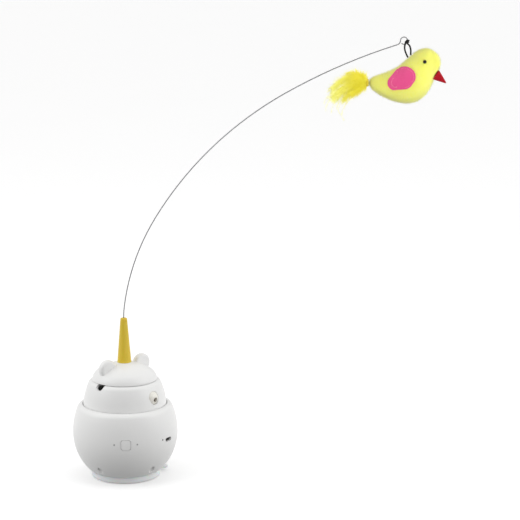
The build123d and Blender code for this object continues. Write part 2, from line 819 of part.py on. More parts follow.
# ================================================================ rotating contacts
brush_azimuth = 270.0
head_screw_circle = band_radius - head_screw_inset
ring_radii = (head_screw_circle - ring_inset - ring_pitch, head_screw_circle - ring_inset)
with BuildPart() as brush_block:
    with BuildSketch(Plane.XY.offset(deck_top_z)):
        with Locations(polar((ring_radii[0] + ring_radii[1]) / 2, brush_azimuth, 0)):
            Rectangle(brush_width, brush_depth)
    extrude(amount=band_foot_z - deck_top_z - brush_gap)
    chamfer(brush_block.edges().group_by(Axis.Z)[-1], 0.8)
finish(brush_block, "brush_block")

with BuildPart() as brush_fingers:
    for radius in ring_radii:
        with BuildSketch(Plane.XY.offset(band_foot_z - brush_gap)):
            with Locations(polar(radius, brush_azimuth, 0)):
                RectangleRounded(0.7 * ring_width, 1.5 * ring_width, 0.4)
        extrude(amount=brush_gap - ring_thickness - fit_gap)
finish(brush_fingers, "brush_fingers")

with BuildPart() as contact_rings:
    for radius in ring_radii:
        with BuildSketch(Plane.XY.offset(band_foot_z - ring_thickness)):
            Circle(radius + ring_width / 2)
            Circle(radius - ring_width / 2, mode=Mode.SUBTRACT)
        extrude(amount=ring_thickness)
finish(contact_rings, "contact_rings")

# ================================================================ turning head
# The turntable closes the head's underside and its hollow spindle runs down through the bush.
turntable_top_z = band_foot_z + turntable_thickness
cap_radius = band_opening + cap_lap
clip_z = bush_z - 0.2 - clip_thickness
laser_circle = band_radius - 1.5 + laser_bulge - laser_ball_radius
bracket_reach = laser_circle - 1.0
bracket_width = 2 * laser_ball_radius + 4.0
bracket_screw_spots = [
    Vector(*polar(bracket_reach - 1.6, laser_azimuth, 0))
    + Vector(cos(radians(laser_azimuth)), sin(radians(laser_azimuth))) * side * bracket_width * 0.36
    for side in (-1, 1)
]
head_screw_spots = [polar(head_screw_circle, azimuth, 0) for azimuth in head_screw_azimuths]
with BuildPart() as turntable:
    with BuildSketch(Plane.XY.offset(band_foot_z)):
        Circle(band_radius - band_wall - 2 * fit_gap)
    extrude(amount=turntable_thickness)
    with BuildSketch(Plane.XY.offset(output_z + gear_width)):
        Circle(hub_radius)
    extrude(amount=band_foot_z - output_z - gear_width)
    with BuildSketch(Plane.XY.offset(clip_z - 1.4)):
        Circle(spindle_radius)
    extrude(amount=band_foot_z - clip_z + 1.4)
    with BuildSketch(Plane.XY.offset(clip_z)):
        Circle(spindle_radius)
        Circle(spindle_radius - clip_groove, mode=Mode.SUBTRACT)
    extrude(amount=clip_thickness, mode=Mode.SUBTRACT)
    with BuildSketch(Plane.XY.offset(clip_z - 1.4)):
        Circle(spindle_bore)
    extrude(amount=turntable_top_z - clip_z + 1.4, mode=Mode.SUBTRACT)
    with BuildSketch(Plane.XY.offset(band_foot_z)):
        with Locations(*head_screw_spots, *bracket_screw_spots):
            Circle(screw_radius)
    extrude(amount=turntable_thickness, mode=Mode.SUBTRACT)
finish(turntable, "turntable")

with BuildPart() as spindle_clip:
    with BuildSketch(Plane.XY.offset(clip_z)):
        Circle(clip_radius)
        Circle(spindle_radius - clip_groove, mode=Mode.SUBTRACT)
        with Locations((clip_radius, 0)):
            Rectangle(2 * clip_radius, 1.4 * (spindle_radius - clip_groove), mode=Mode.SUBTRACT)
    extrude(amount=clip_thickness)
finish(spindle_clip, "spindle_clip")


def band_blank(inset, opening):
    """Half section of the filled head band, its side moved inwards, closed above at a radius."""
    lean = radians(band_lean_angle)
    start = Vector(band_radius - inset * cos(lean), band_turn_z - inset * sin(lean))
    heading = (-sin(lean), cos(lean))
    with BuildSketch(Plane.XZ) as blank:
        with BuildLine():
            foot = Line((start.X, band_foot_z), start)
            side = JernArc(foot @ 1, heading, band_curve - inset, band_turn_angle)
            edge = JernArc(side @ 1, side % 1, band_edge - inset, 90 - band_lean_angle - band_turn_angle)
            top = edge @ 1
            Polyline(top, (opening, top.Y), (0, top.Y), (0, band_foot_z), foot @ 0)
        make_face()
    return blank.sketch


band_outside = band_blank(0, band_opening)
band_inside = band_blank(band_wall, band_opening)
band_middle = band_blank(band_wall / 2, band_opening)
band_top_z = band_outside.bounding_box().max.Z
laser_centre = polar(laser_circle, laser_azimuth, laser_z)
eye_mouth = facing(laser_circle, laser_azimuth, laser_z)
eye_section = Plane(origin=laser_centre, x_dir=-eye_mouth.x_dir, z_dir=(0, 0, 1))

# Screw bosses inside the band, tied to its wall.
with BuildPart() as band_bosses:
    with BuildSketch(Plane.XY.offset(turntable_top_z)):
        with Locations(*head_screw_spots):
            Circle(screw_radius + 1.9)
    extrude(amount=head_boss_height)
    for azimuth in head_screw_azimuths:
        with BuildSketch(facing(head_screw_circle, azimuth, turntable_top_z + head_boss_height / 2)):
            Rectangle(rib_thickness, head_boss_height)
        extrude(amount=band_radius - head_screw_circle)
    revolve(band_middle, axis=Axis.Z, mode=Mode.INTERSECT)

with BuildPart() as head_band:
    revolve(band_outside, axis=Axis.Z)
    revolve(band_inside, axis=Axis.Z, mode=Mode.SUBTRACT)
    with BuildSketch(Plane.XY.offset(turntable_top_z)):
        Circle(band_opening)
    extrude(amount=band_top_z - turntable_top_z, mode=Mode.SUBTRACT)
    add(band_bosses.part)
    with BuildSketch(Plane.XY.offset(turntable_top_z)):
        with Locations(*head_screw_spots):
            Circle(screw_radius)
    extrude(amount=head_boss_height - 1.0, mode=Mode.SUBTRACT)
    with BuildSketch(eye_section):
        Circle(laser_ball_radius + laser_gap)
        with Locations((0, laser_ball_radius)):
            Rectangle(2 * laser_hole, 2 * laser_ball_radius)
        with Locations((-laser_ball_radius, 0)):
            Rectangle(2 * laser_ball_radius, 6 * laser_ball_radius, mode=Mode.SUBTRACT)
    revolve(axis=Axis(laser_centre, eye_mouth.z_dir), mode=Mode.SUBTRACT)
    for azimuth in notch_azimuths:
        with BuildSketch(facing(band_opening - 5.0, azimuth, notch_z + notch_width)):
            SlotOverall(2 * notch_width, notch_width, rotation=90)
        extrude(amount=band_radius - band_opening + 5.0, mode=Mode.SUBTRACT)
finish(head_band, "head_band")

with BuildPart() as head_screws:
    with BuildSketch(Plane.XY.offset(band_foot_z - screw_head_height)):
        with Locations(*head_screw_spots):
            Circle(screw_head_radius)
    extrude(amount=screw_head_height)
    with BuildSketch(Plane.XY.offset(band_foot_z)):
        with Locations(*head_screw_spots):
            Circle(screw_radius)
    extrude(amount=turntable_thickness + head_boss_height - 2.0)
finish(head_screws, "head_screws")

# ================================================================ cap with ears
cap_z = band_top_z + cap_gap
cap_lean = radians(cap_lean_angle)
cap_slope = radians(cap_lean_angle + cap_turn_angle)
cap_shoulder_radius = cap_radius - cap_curve * (cos(cap_lean) - cos(cap_slope))
cap_shoulder_z = cap_z + cap_rim + cap_curve * (sin(cap_slope) - sin(cap_lean))
cap_dome = cap_shoulder_radius / cos(cap_slope)
crown_z = cap_shoulder_z + cap_dome * (1 - sin(cap_slope))


def cap_blank(inset, floor_z):
    """Half section of the filled cap, its dome moved inwards and its floor at a given height."""
    rim = Vector(cap_radius - inset * cos(cap_lean), cap_z + cap_rim - inset * sin(cap_lean))
    heading = (-sin(cap_lean), cos(cap_lean))
    with BuildSketch(Plane.XZ) as blank:
        with BuildLine():
            shoulder = JernArc(rim, heading, cap_curve - inset, cap_turn_angle)
            dome = JernArc(shoulder @ 1, shoulder % 1, cap_dome - inset, 90 - degrees(cap_slope))
            Polyline(dome @ 1, (0, floor_z), (rim.X, floor_z), rim)
        make_face()
    return blank.sketch


with BuildPart() as ear_discs:
    for azimuth in ear_azimuths:
        ear_centre = polar(ear_circle, azimuth, ear_z)
        sideways = (cos(radians(azimuth)), sin(radians(azimuth)), 0)
        disc = Plane(origin=ear_centre, x_dir=polar(1, azimuth, 0), z_dir=sideways)
        with BuildSketch(disc):
            Circle(ear_radius)
        extrude(amount=ear_thickness / 2, both=True)
    fillet(ear_discs.edges().filter_by(GeomType.CIRCLE), ear_edge)

with BuildPart() as head_cap:
    revolve(cap_blank(0, cap_z), axis=Axis.Z)
    add(ear_discs.part)
    revolve(cap_blank(cap_wall, cap_z - 1.0), axis=Axis.Z, mode=Mode.SUBTRACT)
    with BuildSketch(Plane.XY.offset(cap_z - skirt_depth)):
        Circle(band_opening - fit_gap)
        Circle(band_opening - fit_gap - skirt_wall, mode=Mode.SUBTRACT)
    extrude(amount=skirt_depth + 1.0)
    for azimuth in notch_azimuths:
        with BuildSketch(facing(band_opening - 5.0, azimuth, cap_z - notch_width)):
            Rectangle(notch_width, 2 * notch_width)
        extrude(amount=10.0, mode=Mode.SUBTRACT)
    with BuildSketch(Plane.XY.offset(crown_z - socket_depth - 1.5)):
        Circle(socket_radius)
    extrude(amount=socket_depth + 1.5)
    with BuildSketch(Plane.XY.offset(crown_z - socket_depth)):
        Circle(plug_radius + plug_gap)
    extrude(amount=socket_depth, mode=Mode.SUBTRACT)
finish(head_cap, "head_cap")

# ================================================================ laser eye
with BuildPart() as laser_bracket:
    with BuildSketch(Plane.XY.offset(turntable_top_z)):
        middle = (bracket_reach + laser_circle - laser_ball_radius - 3.0) / 2
        depth = bracket_reach - (laser_circle - laser_ball_radius - 3.0)
        with Locations(Location(polar(middle, laser_azimuth, 0), laser_azimuth)):
            Rectangle(bracket_width, depth)
    extrude(amount=laser_z + laser_ball_radius * 0.65 - turntable_top_z)
    fillet(laser_bracket.edges().filter_by(Axis.Z), 1.5)
    with Locations(laser_centre):
        Sphere(laser_ball_radius + fit_gap, mode=Mode.SUBTRACT)
    with BuildSketch(facing(0, laser_azimuth, laser_z)):
        Circle(module_radius + 1.5)
    extrude(amount=laser_circle, mode=Mode.SUBTRACT)
    with BuildSketch(Plane.XY.offset(turntable_top_z)):
        with Locations(*bracket_screw_spots):
            Circle(screw_radius)
    extrude(amount=screw_grip / 2, mode=Mode.SUBTRACT)
finish(laser_bracket, "laser_bracket")

with BuildPart() as bracket_screws:
    with BuildSketch(Plane.XY.offset(band_foot_z - screw_head_height)):
        with Locations(*bracket_screw_spots):
            Circle(screw_head_radius * 0.85)
    extrude(amount=screw_head_height)
    with BuildSketch(Plane.XY.offset(band_foot_z)):
        with Locations(*bracket_screw_spots):
            Circle(screw_radius)
    extrude(amount=turntable_thickness + screw_grip / 2 - 1.0)
finish(bracket_screws, "bracket_screws")

board_spot = polar(head_screw_circle - laser_board_gap - laser_board_depth / 2, laser_azimuth + 180, 0)
with BuildPart() as laser_board:
    with BuildSketch(Plane.XY.offset(turntable_top_z)):
        with Locations(Location(board_spot, laser_azimuth)):
            RectangleRounded(laser_board_width, laser_board_depth, 1.0)
    extrude(amount=laser_board_thickness)
    with BuildSketch(Plane.XY.offset(turntable_top_z + laser_board_thickness)):
        with Locations(Location(board_spot, laser_azimuth)):
            Rectangle(driver_width, driver_depth)
    extrude(amount=driver_height)
finish(laser_board, "laser_board")

aim = facing(laser_circle, laser_azimuth, laser_z, laser_dip_angle)
bore_front = laser_flat - aperture_depth
with BuildPart() as laser_ball:
    with Locations(laser_centre):
        Sphere(laser_ball_radius)
    with BuildSketch(aim.offset(laser_flat)):
        Circle(laser_ball_radius)
    extrude(amount=laser_ball_radius, mode=Mode.SUBTRACT)
    with BuildSketch(aim.offset(-laser_ball_radius)):
        Circle(module_radius)
    extrude(amount=laser_ball_radius + bore_front, mode=Mode.SUBTRACT)
    with BuildSketch(aim.offset(bore_front)):
        Circle(aperture_radius)
    extrude(amount=aperture_depth, mode=Mode.SUBTRACT)
finish(laser_ball, "laser_ball")

with BuildPart() as laser_module:
    with BuildSketch(aim.offset(bore_front - module_length)):
        Circle(module_radius)
    extrude(amount=module_length)
    with BuildSketch(aim.offset(bore_front - 1.0)):
        Circle(lens_disc)
    extrude(amount=1.0, mode=Mode.SUBTRACT)
finish(laser_module, "laser_module")

with BuildPart() as laser_lens:
    with BuildSketch(aim.offset(bore_front - 1.0)):
        Circle(lens_disc)
    extrude(amount=0.8)
finish(laser_lens, "laser_lens")

# ================================================================ wand
with BuildPart() as wand_holder:
    with BuildSketch(Plane.XZ):
        with BuildLine():
            Polyline(
                (0, crown_z - socket_depth + 0.3),
                (plug_radius, crown_z - socket_depth + 0.3),
                (plug_radius, crown_z),
                (holder_radius, crown_z),
                (holder_tip_radius, holder_top_z),
                (0, holder_top_z),
                close=True,
            )
        make_face()
    revolve(axis=Axis.Z)
    fillet(wand_holder.edges().filter_by(GeomType.CIRCLE).sort_by(Axis.Z)[-1], 1.0)
    with BuildSketch(Plane.XY.offset(wire_foot_z)):
        Circle(wire_radius)
    extrude(amount=holder_top_z - wire_foot_z, mode=Mode.SUBTRACT)
finish(wand_holder, "wand_holder")

# The spring wire stands upright in the holder and bends over in four ever flatter arcs, then
# crooks up and curls round into the open eye that the loop hangs from.
with BuildPart() as wand_wire:
    with BuildLine(Plane.XZ) as wire_path:
        stem = Line((0, wire_foot_z), (0, holder_top_z))
        last = stem
        for radius, turn in wire_bends:
            last = JernArc(last @ 1, last % 1, radius, -turn)
        crook = JernArc(last @ 1, last % 1, crook_radius, crook_angle)
        eye = JernArc(crook @ 1, crook % 1, eye_radius, -eye_angle)
    with BuildSketch(Plane.XY.offset(wire_foot_z)):
        Circle(wire_radius)
    sweep(path=wire_path.line)
finish(wand_wire, "wand_wire")

# ================================================================ elastic loop
def bend_radii(points):
    """The largest radius that each corner's shorter run leaves room for."""
    radii = []
    for before, corner, after in zip(points, points[1:], points[2:]):
        into = Vector(*corner) - Vector(*before)
        out = Vector(*after) - Vector(*corner)
        half_turn = radians(into.get_angle(out)) / 2
        radii.append(0.45 * min(into.length, out.length) / tan(half_turn))
    return radii


loop_radii = bend_radii(loop_points)
with BuildPart() as tether_loop:
    with BuildLine() as loop_path:
        FilletPolyline(*loop_points, radius=loop_radii)
    with BuildSketch(Plane(origin=loop_path.line @ 0, z_dir=loop_path.line % 0)):
        Circle(cord_diameter / 2)
    sweep(path=loop_path.line)
finish(tether_loop, "tether_loop")
loop_length = sum(edge.length for edge in loop_path.edges())


# ================================================================ plush bird
def stuffed(sections, padding):
    """A soft body lofted through upright ellipses, all made larger by a padding."""
    with BuildPart() as body:
        for x, z, half_height, half_width in sections:
            with BuildSketch(Plane(origin=(x, 0, z), x_dir=(0, 1, 0), z_dir=(1, 0, 0))):
                Ellipse(half_width + padding, half_height + padding)
        loft()
    return body.part


root = Vector(beak_root[0], 0, beak_root[1])
beak_axis = Vector(beak_tip[0], 0, beak_tip[1]) - root
with BuildPart() as bird_beak:
    beak_plane = Plane(origin=root, x_dir=(0, 1, 0), z_dir=beak_axis)
    with BuildSketch(beak_plane.offset(-beak_sunk)):
        Ellipse(beak_width, beak_height)
    with BuildSketch(beak_plane.offset(beak_axis.length)):
        Ellipse(0.5, 0.5)
    loft()
finish(bird_beak, "bird_beak")

with BuildPart() as bird_eyes:
    with Locations(bead_spot, (bead_spot[0], -bead_spot[1], bead_spot[2])):
        Sphere(bead_radius)
finish(bird_eyes, "bird_eyes")

with BuildPart() as bird_body:
    add(stuffed(bird_sections, 0))
    add(bird_beak.part, mode=Mode.SUBTRACT)
    add(bird_eyes.part, mode=Mode.SUBTRACT)
finish(bird_body, "bird_body")

# A felt wing on each side is as thick as its padding and lies on the round of the body.
for side, name in ((1, "wing_right"), (-1, "wing_left")):
    with BuildPart() as wing:
        with BuildSketch(Plane.XZ):
            with Locations((wing_front[0], wing_front[1])):
                Circle(wing_front[2])
            with Locations((wing_rear[0], wing_rear[1])):
                Circle(wing_rear[2])
            make_hull()
        extrude(amount=side * 2 * bird_sections[5][3])
        add(stuffed(bird_sections, wing_thickness), mode=Mode.INTERSECT)
        add(stuffed(bird_sections, 0), mode=Mode.SUBTRACT)
    finish(wing, name)

tail_x, tail_z = bird_sections[0][:2]
neck_length = tail_x - feather_sections[0][0]
with BuildPart() as tail_feathers:
    add(stuffed(feather_sections, 0))
    with BuildSketch(Plane(origin=(tail_x, 0, tail_z), x_dir=(0, 1, 0), z_dir=(-1, 0, 0))):
        Ellipse(tie_width, tie_height)
    extrude(amount=neck_length)
finish(tail_feathers, "tail_feathers")

with BuildPart() as tail_binding:
    with BuildSketch(Plane(origin=(tail_x - 0.2, 0, tail_z), x_dir=(0, 1, 0), z_dir=(-1, 0, 0))):
        Ellipse(tie_width + binding_thickness, tie_height + binding_thickness)
        Ellipse(tie_width, tie_height, mode=Mode.SUBTRACT)
    extrude(amount=binding_width)
finish(tail_binding, "tail_binding")

print("loop radii", [round(radius, 1) for radius in loop_radii], "length", round(loop_length, 1))
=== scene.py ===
from math import cos, pi, radians, sin

import bmesh
import bpy
import numpy as np
from mathutils import Matrix, Vector
from mathutils.bvhtree import BVHTree


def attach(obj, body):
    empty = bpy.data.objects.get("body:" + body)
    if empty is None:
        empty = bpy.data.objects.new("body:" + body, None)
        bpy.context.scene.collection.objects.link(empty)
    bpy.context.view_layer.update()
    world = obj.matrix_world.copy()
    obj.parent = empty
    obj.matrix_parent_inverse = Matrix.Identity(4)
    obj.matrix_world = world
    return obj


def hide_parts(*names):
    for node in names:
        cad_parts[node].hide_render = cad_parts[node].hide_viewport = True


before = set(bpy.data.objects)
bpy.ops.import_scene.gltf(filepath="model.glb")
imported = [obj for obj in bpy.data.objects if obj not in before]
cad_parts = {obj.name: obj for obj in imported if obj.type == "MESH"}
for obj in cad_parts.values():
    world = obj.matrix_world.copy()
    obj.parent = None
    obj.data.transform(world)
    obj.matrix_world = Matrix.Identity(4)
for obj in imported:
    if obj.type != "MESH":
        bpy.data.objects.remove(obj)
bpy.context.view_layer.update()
MM = 0.001

# ================================================================ view
# The toy is seen from in front and a little above, from far enough that the round base keeps
# its proportions.
VIEW_PLACE = (0.1289, -1.7925, 0.5908)
VIEW_PITCH = 12
camera_data = bpy.data.cameras.new("view")
camera_data.lens = 135
camera_data.sensor_width = 36
camera = bpy.data.objects.new("view", camera_data)
camera.location = VIEW_PLACE
camera.rotation_euler = (radians(90 - VIEW_PITCH), 0, 0)
bpy.context.collection.objects.link(camera)
bpy.context.scene.camera = camera


# ================================================================ elastic loop
# A short length of round black elastic. Both ends are sewn into the bird's back, and the loop
# between them is hitched round the wire of the wand's eye in three turns.
class Surface:
    """A value inside a material's node tree. Arithmetic on it adds the Math nodes."""

    FIRST_COLOUR, SECOND_COLOUR, MIXED_COLOUR = 6, 7, 2

    def __init__(self, tree, socket=None):
        self.tree = tree
        self.socket = socket

    def node(self, kind, settings=None, sockets=None, out=0):
        """Add one shader node: its settings first, then what its sockets hold or follow."""
        made = self.tree.nodes.new("ShaderNode" + kind)
        for key, value in (settings or {}).items():
            setattr(made, key, value)
        for key, value in (sockets or {}).items():
            socket = made.inputs[key]
            if isinstance(value, Surface):
                self.tree.links.new(value.socket, socket)
            else:
                socket.default_value = value
        return Surface(self.tree, made.outputs[out])

    def math(self, operation, *values):
        return self.node("Math", {"operation": operation}, dict(enumerate(values)))

    def __add__(self, other):
        return self.math("ADD", self, other)

    def __sub__(self, other):
        return self.math("SUBTRACT", self, other)

    def __rsub__(self, other):
        return self.math("SUBTRACT", other, self)

    def __mul__(self, other):
        return self.math("MULTIPLY", self, other)

    def __gt__(self, other):
        return self.math("GREATER_THAN", self, other)

    __radd__ = __add__
    __rmul__ = __mul__

    def place(self, stretch=(1.0, 1.0, 1.0)):
        """Where a point is in the object, stretched along its axes."""
        here = self.node("TexCoord", out="Object")
        return self.node("Mapping", {}, {"Vector": here, "Scale": stretch})

    def along(self):
        """How far a point lies along the object's X."""
        return self.node("SeparateXYZ", {}, {"Vector": self.place()}, out="X")

    def noise(self, spots, detail=3.0, stretch=(1.0, 1.0, 1.0)):
        """Soft noise from 0 to 1, with about so many spots to a metre."""
        sockets = {"Vector": self.place(stretch), "Scale": spots, "Detail": detail}
        return self.node("TexNoise", {}, sockets)

    def blend(self, factor, first, second):
        """A colour between two others."""
        sockets = {"Factor": factor, self.FIRST_COLOUR: first, self.SECOND_COLOUR: second}
        return self.node("Mix", {"data_type": "RGBA"}, sockets, out=self.MIXED_COLOUR)

    def bump(self, height, depth, strength):
        """Normals pushed about by a height, at most a depth in metres."""
        sockets = {"Height": height, "Distance": depth, "Strength": strength}
        return self.node("Bump", {}, sockets)


def finish(name, changing, **constant):
    """A material whose changing sockets follow the surface and whose constant ones are set once."""
    material = bpy.data.materials.new(name)
    material.use_nodes = True
    shader = material.node_tree.nodes["Principled BSDF"]
    for key, value in constant.items():
        shader.inputs[key.replace("_", " ")].default_value = value
    for key, value in changing(Surface(material.node_tree)).items():
        material.node_tree.links.new(value.socket, shader.inputs[key])
    return material


GRAINS_TO_A_PATCH = 9


def mottled(first, second, rough, spread, spots, relief, detail=3.0, stretch=(1.0, 1.0, 1.0)):
    """Changing sockets of a plain finish. Its tone drifts between two close colours, and its
    grain, so many spots to a metre, spreads the roughness and stands up by the relief."""

    def changing(s):
        grain = s.noise(spots, detail, stretch)
        drift = s.noise(spots / GRAINS_TO_A_PATCH, detail=2.0)
        return {
            "Base Color": s.blend(drift, (*first, 1), (*second, 1)),
            "Roughness": rough + spread * grain,
            "Normal": s.bump(grain, relief, strength=0.6),
        }

    return changing


def dress(piece, material, body, slot_name, *nodes):
    """Give a finished piece its material, the body it rides on and the nodes it stands for."""
    piece.data.materials.clear()
    piece.data.materials.append(material)
    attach(piece, body)
    if nodes:
        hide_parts(*nodes)
    return piece


# The points of the route are in millimetres.
LOOP_ROUTE = (
    (264.9, 0.0, 400.2),
    (260.9, -1.35, 407.4),
    (262.6, -1.35, 414.6),
    (262.6, 1.35, 414.6),
    (268.2, 1.35, 409.2),
    (267.3, 0.0, 402.3),
)
ELASTIC = 1.6 * MM
black_elastic = finish(
    "woven_elastic",
    mottled((0.002, 0.002, 0.002), (0.009, 0.009, 0.010), rough=0.66, spread=0.2,
            spots=1400.0, relief=0.12 * MM),
    Specular_IOR_Level=0.25)
elastic_line = bpy.data.curves.new("tether_elastic", "CURVE")
elastic_line.dimensions = "3D"
elastic_run = elastic_line.splines.new("NURBS")
elastic_run.points.add(len(LOOP_ROUTE) - 1)
for point, spot in zip(elastic_run.points, LOOP_ROUTE):
    point.co = (*(Vector(spot) * MM), 1.0)
elastic_run.order_u = 3
elastic_run.use_endpoint_u = True
elastic_run.resolution_u = 16
elastic_line.bevel_depth = ELASTIC / 2
elastic_line.bevel_resolution = 4
elastic_line.use_fill_caps = True
elastic = bpy.data.objects.new("tether_elastic", elastic_line)
bpy.context.collection.objects.link(elastic)
dress(elastic, black_elastic, "tether", "elastic_cord", "tether_loop")


def new_piece(name, shape, smooth=True):
    """Turn a finished bmesh into a piece."""
    for face in shape.faces:
        face.smooth = smooth
    mesh = bpy.data.meshes.new(name)
    shape.to_mesh(mesh)
    shape.free()
    piece = bpy.data.objects.new(name, mesh)
    bpy.context.collection.objects.link(piece)
    return piece


TURN_STEPS = 28


def edges_of(ring):
    """The edges of a new circle, each once and always in the same order."""
    return list(dict.fromkeys(edge for vert in ring["verts"] for edge in vert.link_edges))


def turn_of(shape, radius, corners, matrix, centre, axis):
    """One closed turn of thread or elastic, spun round a centre."""
    ring = bmesh.ops.create_circle(shape, segments=corners, radius=radius, matrix=matrix)
    bmesh.ops.spin(shape, geom=ring["verts"] + edges_of(ring), cent=centre, axis=axis,
                   angle=2 * pi, steps=TURN_STEPS, use_merge=True)


# The hitch: three turns round the wire of the eye, side by side.
WIRE_EYE_CENTRE = Vector((261.19, 0, 415.6))
WIRE_EYE_RADIUS = 3.3
HITCH_ANGLES = (2.0, -18.0, -38.0)
HITCH_CORNERS = 14
HITCH_REACH = 1.05 * MM
HITCH_RADIUS = 0.72 * MM
hitch = bmesh.new()
for angle in HITCH_ANGLES:
    around = Vector((cos(radians(angle)), 0, sin(radians(angle))))
    wire_way = Vector((-around.z, 0, around.x))
    spot = (WIRE_EYE_CENTRE + around * WIRE_EYE_RADIUS) * MM
    upright = Matrix.Rotation(radians(-angle), 4, "Y") @ Matrix.Rotation(pi / 2, 4, "X")
    turn_of(hitch, HITCH_RADIUS, HITCH_CORNERS,
            Matrix.Translation(spot + around * HITCH_REACH) @ upright, spot, wire_way)
bmesh.ops.recalc_face_normals(hitch, faces=hitch.faces)
hitch_piece = dress(new_piece("loop_hitch", hitch), black_elastic, "tether", "elastic_cord")


# ================================================================ suction foot
# One moulded ring of clear-white silicone with a hollow underside, pressed over the base plate.
# Its pull tab sticks out at one side to let the air in.
JOIN = 0.002 * MM


def recast(node, name, material, body, slot_name, crease=32.0):
    """A piece in a CAD node's own shape: its triangles are joined up, and only edges that turn
    by the crease or more, in degrees, stay sharp."""
    shape = bmesh.new()
    shape.from_mesh(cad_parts[node].data)
    bmesh.ops.remove_doubles(shape, verts=shape.verts, dist=JOIN)
    for edge in shape.edges:
        edge.smooth = edge.calc_face_angle(pi) < radians(crease)
    return dress(new_piece(name, shape), material, body, slot_name, node)


silicone = finish(
    "clear_white_silicone",
    mottled((0.80, 0.81, 0.81), (0.86, 0.87, 0.87), rough=0.34, spread=0.16,
            spots=700.0, relief=0.02 * MM, detail=4.0),
    Subsurface_Weight=0.3, Subsurface_Scale=0.006, IOR=1.41)
recast("suction_foot", "foot_ring", silicone, "base", "silicone")


# ================================================================ base plate and its load
# A white disc closes the base from below with three small screws. On it stand a rolled steel
# ballast plate and a dark cradle with the round lithium cell in its blue sleeve.
def shell_surface(s):
    """Satin white plastic with a faint orange peel, glossier and duller where it was handled."""
    peel = s.noise(420.0, detail=2.0)
    drift = s.noise(14.0, detail=2.0)
    handled = s.noise(90.0, detail=5.0)
    return {
        "Base Color": s.blend(drift, (0.80, 0.80, 0.795, 1), (0.835, 0.835, 0.825, 1)),
        "Roughness": 0.30 + 0.12 * handled,
        "Normal": s.bump(peel, 0.012 * MM, strength=0.35),
    }


def sleeve_surface(s):
    """Shrunk blue film, creased round the cell."""
    crease = s.noise(260.0, stretch=(0.25, 1.0, 1.0))
    film = s.noise(40.0, detail=2.0)
    return {
        "Base Color": s.blend(film, (0.010, 0.055, 0.16, 1), (0.016, 0.085, 0.22, 1)),
        "Roughness": 0.22 + 0.2 * crease,
        "Normal": s.bump(crease, 0.08 * MM, strength=0.6),
    }


def coat(material, *nodes):
    """Give CAD nodes that stay as they are a finish of their own."""
    for node in nodes:
        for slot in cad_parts[node].material_slots:
            slot.material = material


white_shell = finish("satin_white_shell", shell_surface, IOR=1.52)
zinc_screws = finish(
    "zinc_screws",
    mottled((0.50, 0.50, 0.52), (0.62, 0.61, 0.58), rough=0.25, spread=0.25,
            spots=1500.0, relief=0.03 * MM),
    Metallic=1.0)
rolled_steel = finish(
    "rolled_steel",
    mottled((0.32, 0.32, 0.33), (0.45, 0.44, 0.43), rough=0.3, spread=0.3,
            spots=500.0, relief=0.03 * MM, detail=4.0, stretch=(0.08, 1.0, 1.0)),
    Metallic=1.0)
dark_plastic = finish(
    "dark_inner_plastic",
    mottled((0.030, 0.031, 0.033), (0.045, 0.045, 0.048), rough=0.5, spread=0.2,
            spots=900.0, relief=0.03 * MM))
recast("base_plate", "foot_plate", white_shell, "base", "white_shell")
coat(zinc_screws, "base_screws", "housing_screws")
coat(rolled_steel, "ballast_plate")
coat(dark_plastic, "battery_cradle")
coat(finish("blue_cell_sleeve", sleeve_surface, Coat_Weight=0.3), "battery")

# ================================================================ base shells
# Two satin white injection-moulded cups. The lower one has four screw wells that break out
# of its flank, and the upper one carries the button, lamps and charging slot.
recast("lower_shell", "base_lower_cup", white_shell, "base", "white_shell")
recast("upper_shell", "base_upper_cup", white_shell, "base", "white_shell")
button_white = finish(
    "button_white",
    mottled((0.80, 0.80, 0.795), (0.84, 0.84, 0.83), rough=0.24, spread=0.1,
            spots=420.0, relief=0.01 * MM))
recast("power_button", "button_cap", button_white, "button", "white_button")

# ================================================================ main board
# A round green board with its push switch, the steel charging socket with its black tongue,
# and clear plastic rods that carry the lamps' light to the wall.
TRACKS = {"Scale": 190.0, "Mortar Size": 0.05, "Mortar Smooth": 0.3}
PADS_TO_A_METRE = 260.0
PAD_SIZE = 0.16


def board_surface(s):
    """Green solder mask over copper tracks, with round gilt pads."""
    tracks = s.node("TexBrick", {"offset": 0.37, "squash": 1.6},
                    {"Vector": s.place(), **TRACKS}, out="Fac")
    from_pad = s.node("TexVoronoi", {}, {"Vector": s.place(), "Scale": PADS_TO_A_METRE},
                      out="Distance")
    pad = 1.0 - (from_pad > PAD_SIZE)
    mask = s.blend(tracks, (0.004, 0.075, 0.030, 1), (0.010, 0.135, 0.055, 1))
    return {
        "Base Color": s.blend(pad, mask, (0.62, 0.46, 0.20, 1)),
        "Metallic": 0.9 * pad,
        "Roughness": 0.28 + 0.12 * s.noise(300.0),
        "Normal": s.bump(tracks, 0.04 * MM, strength=0.6),
    }


circuit_board = finish("green_circuit_board", board_surface)
black_plastic = finish(
    "black_plastic",
    mottled((0.010, 0.010, 0.011), (0.020, 0.020, 0.021), rough=0.4, spread=0.2,
            spots=900.0, relief=0.02 * MM))
plated_steel = finish(
    "plated_steel",
    mottled((0.56, 0.56, 0.57), (0.66, 0.65, 0.63), rough=0.22, spread=0.16,
            spots=1300.0, relief=0.02 * MM),
    Metallic=1.0)
frosted_rod = finish(
    "frosted_light_rod",
    mottled((0.30, 0.30, 0.31), (0.42, 0.42, 0.42), rough=0.35, spread=0.15,
            spots=1200.0, relief=0.01 * MM),
    Transmission_Weight=0.25, IOR=1.49)
smoked_rod = finish(
    "smoked_light_rod",
    mottled((0.045, 0.045, 0.048), (0.07, 0.07, 0.075), rough=0.3, spread=0.15,
            spots=1200.0, relief=0.01 * MM))
coat(circuit_board, "main_board", "laser_board")
coat(black_plastic, "tact_switch", "switch_plunger")
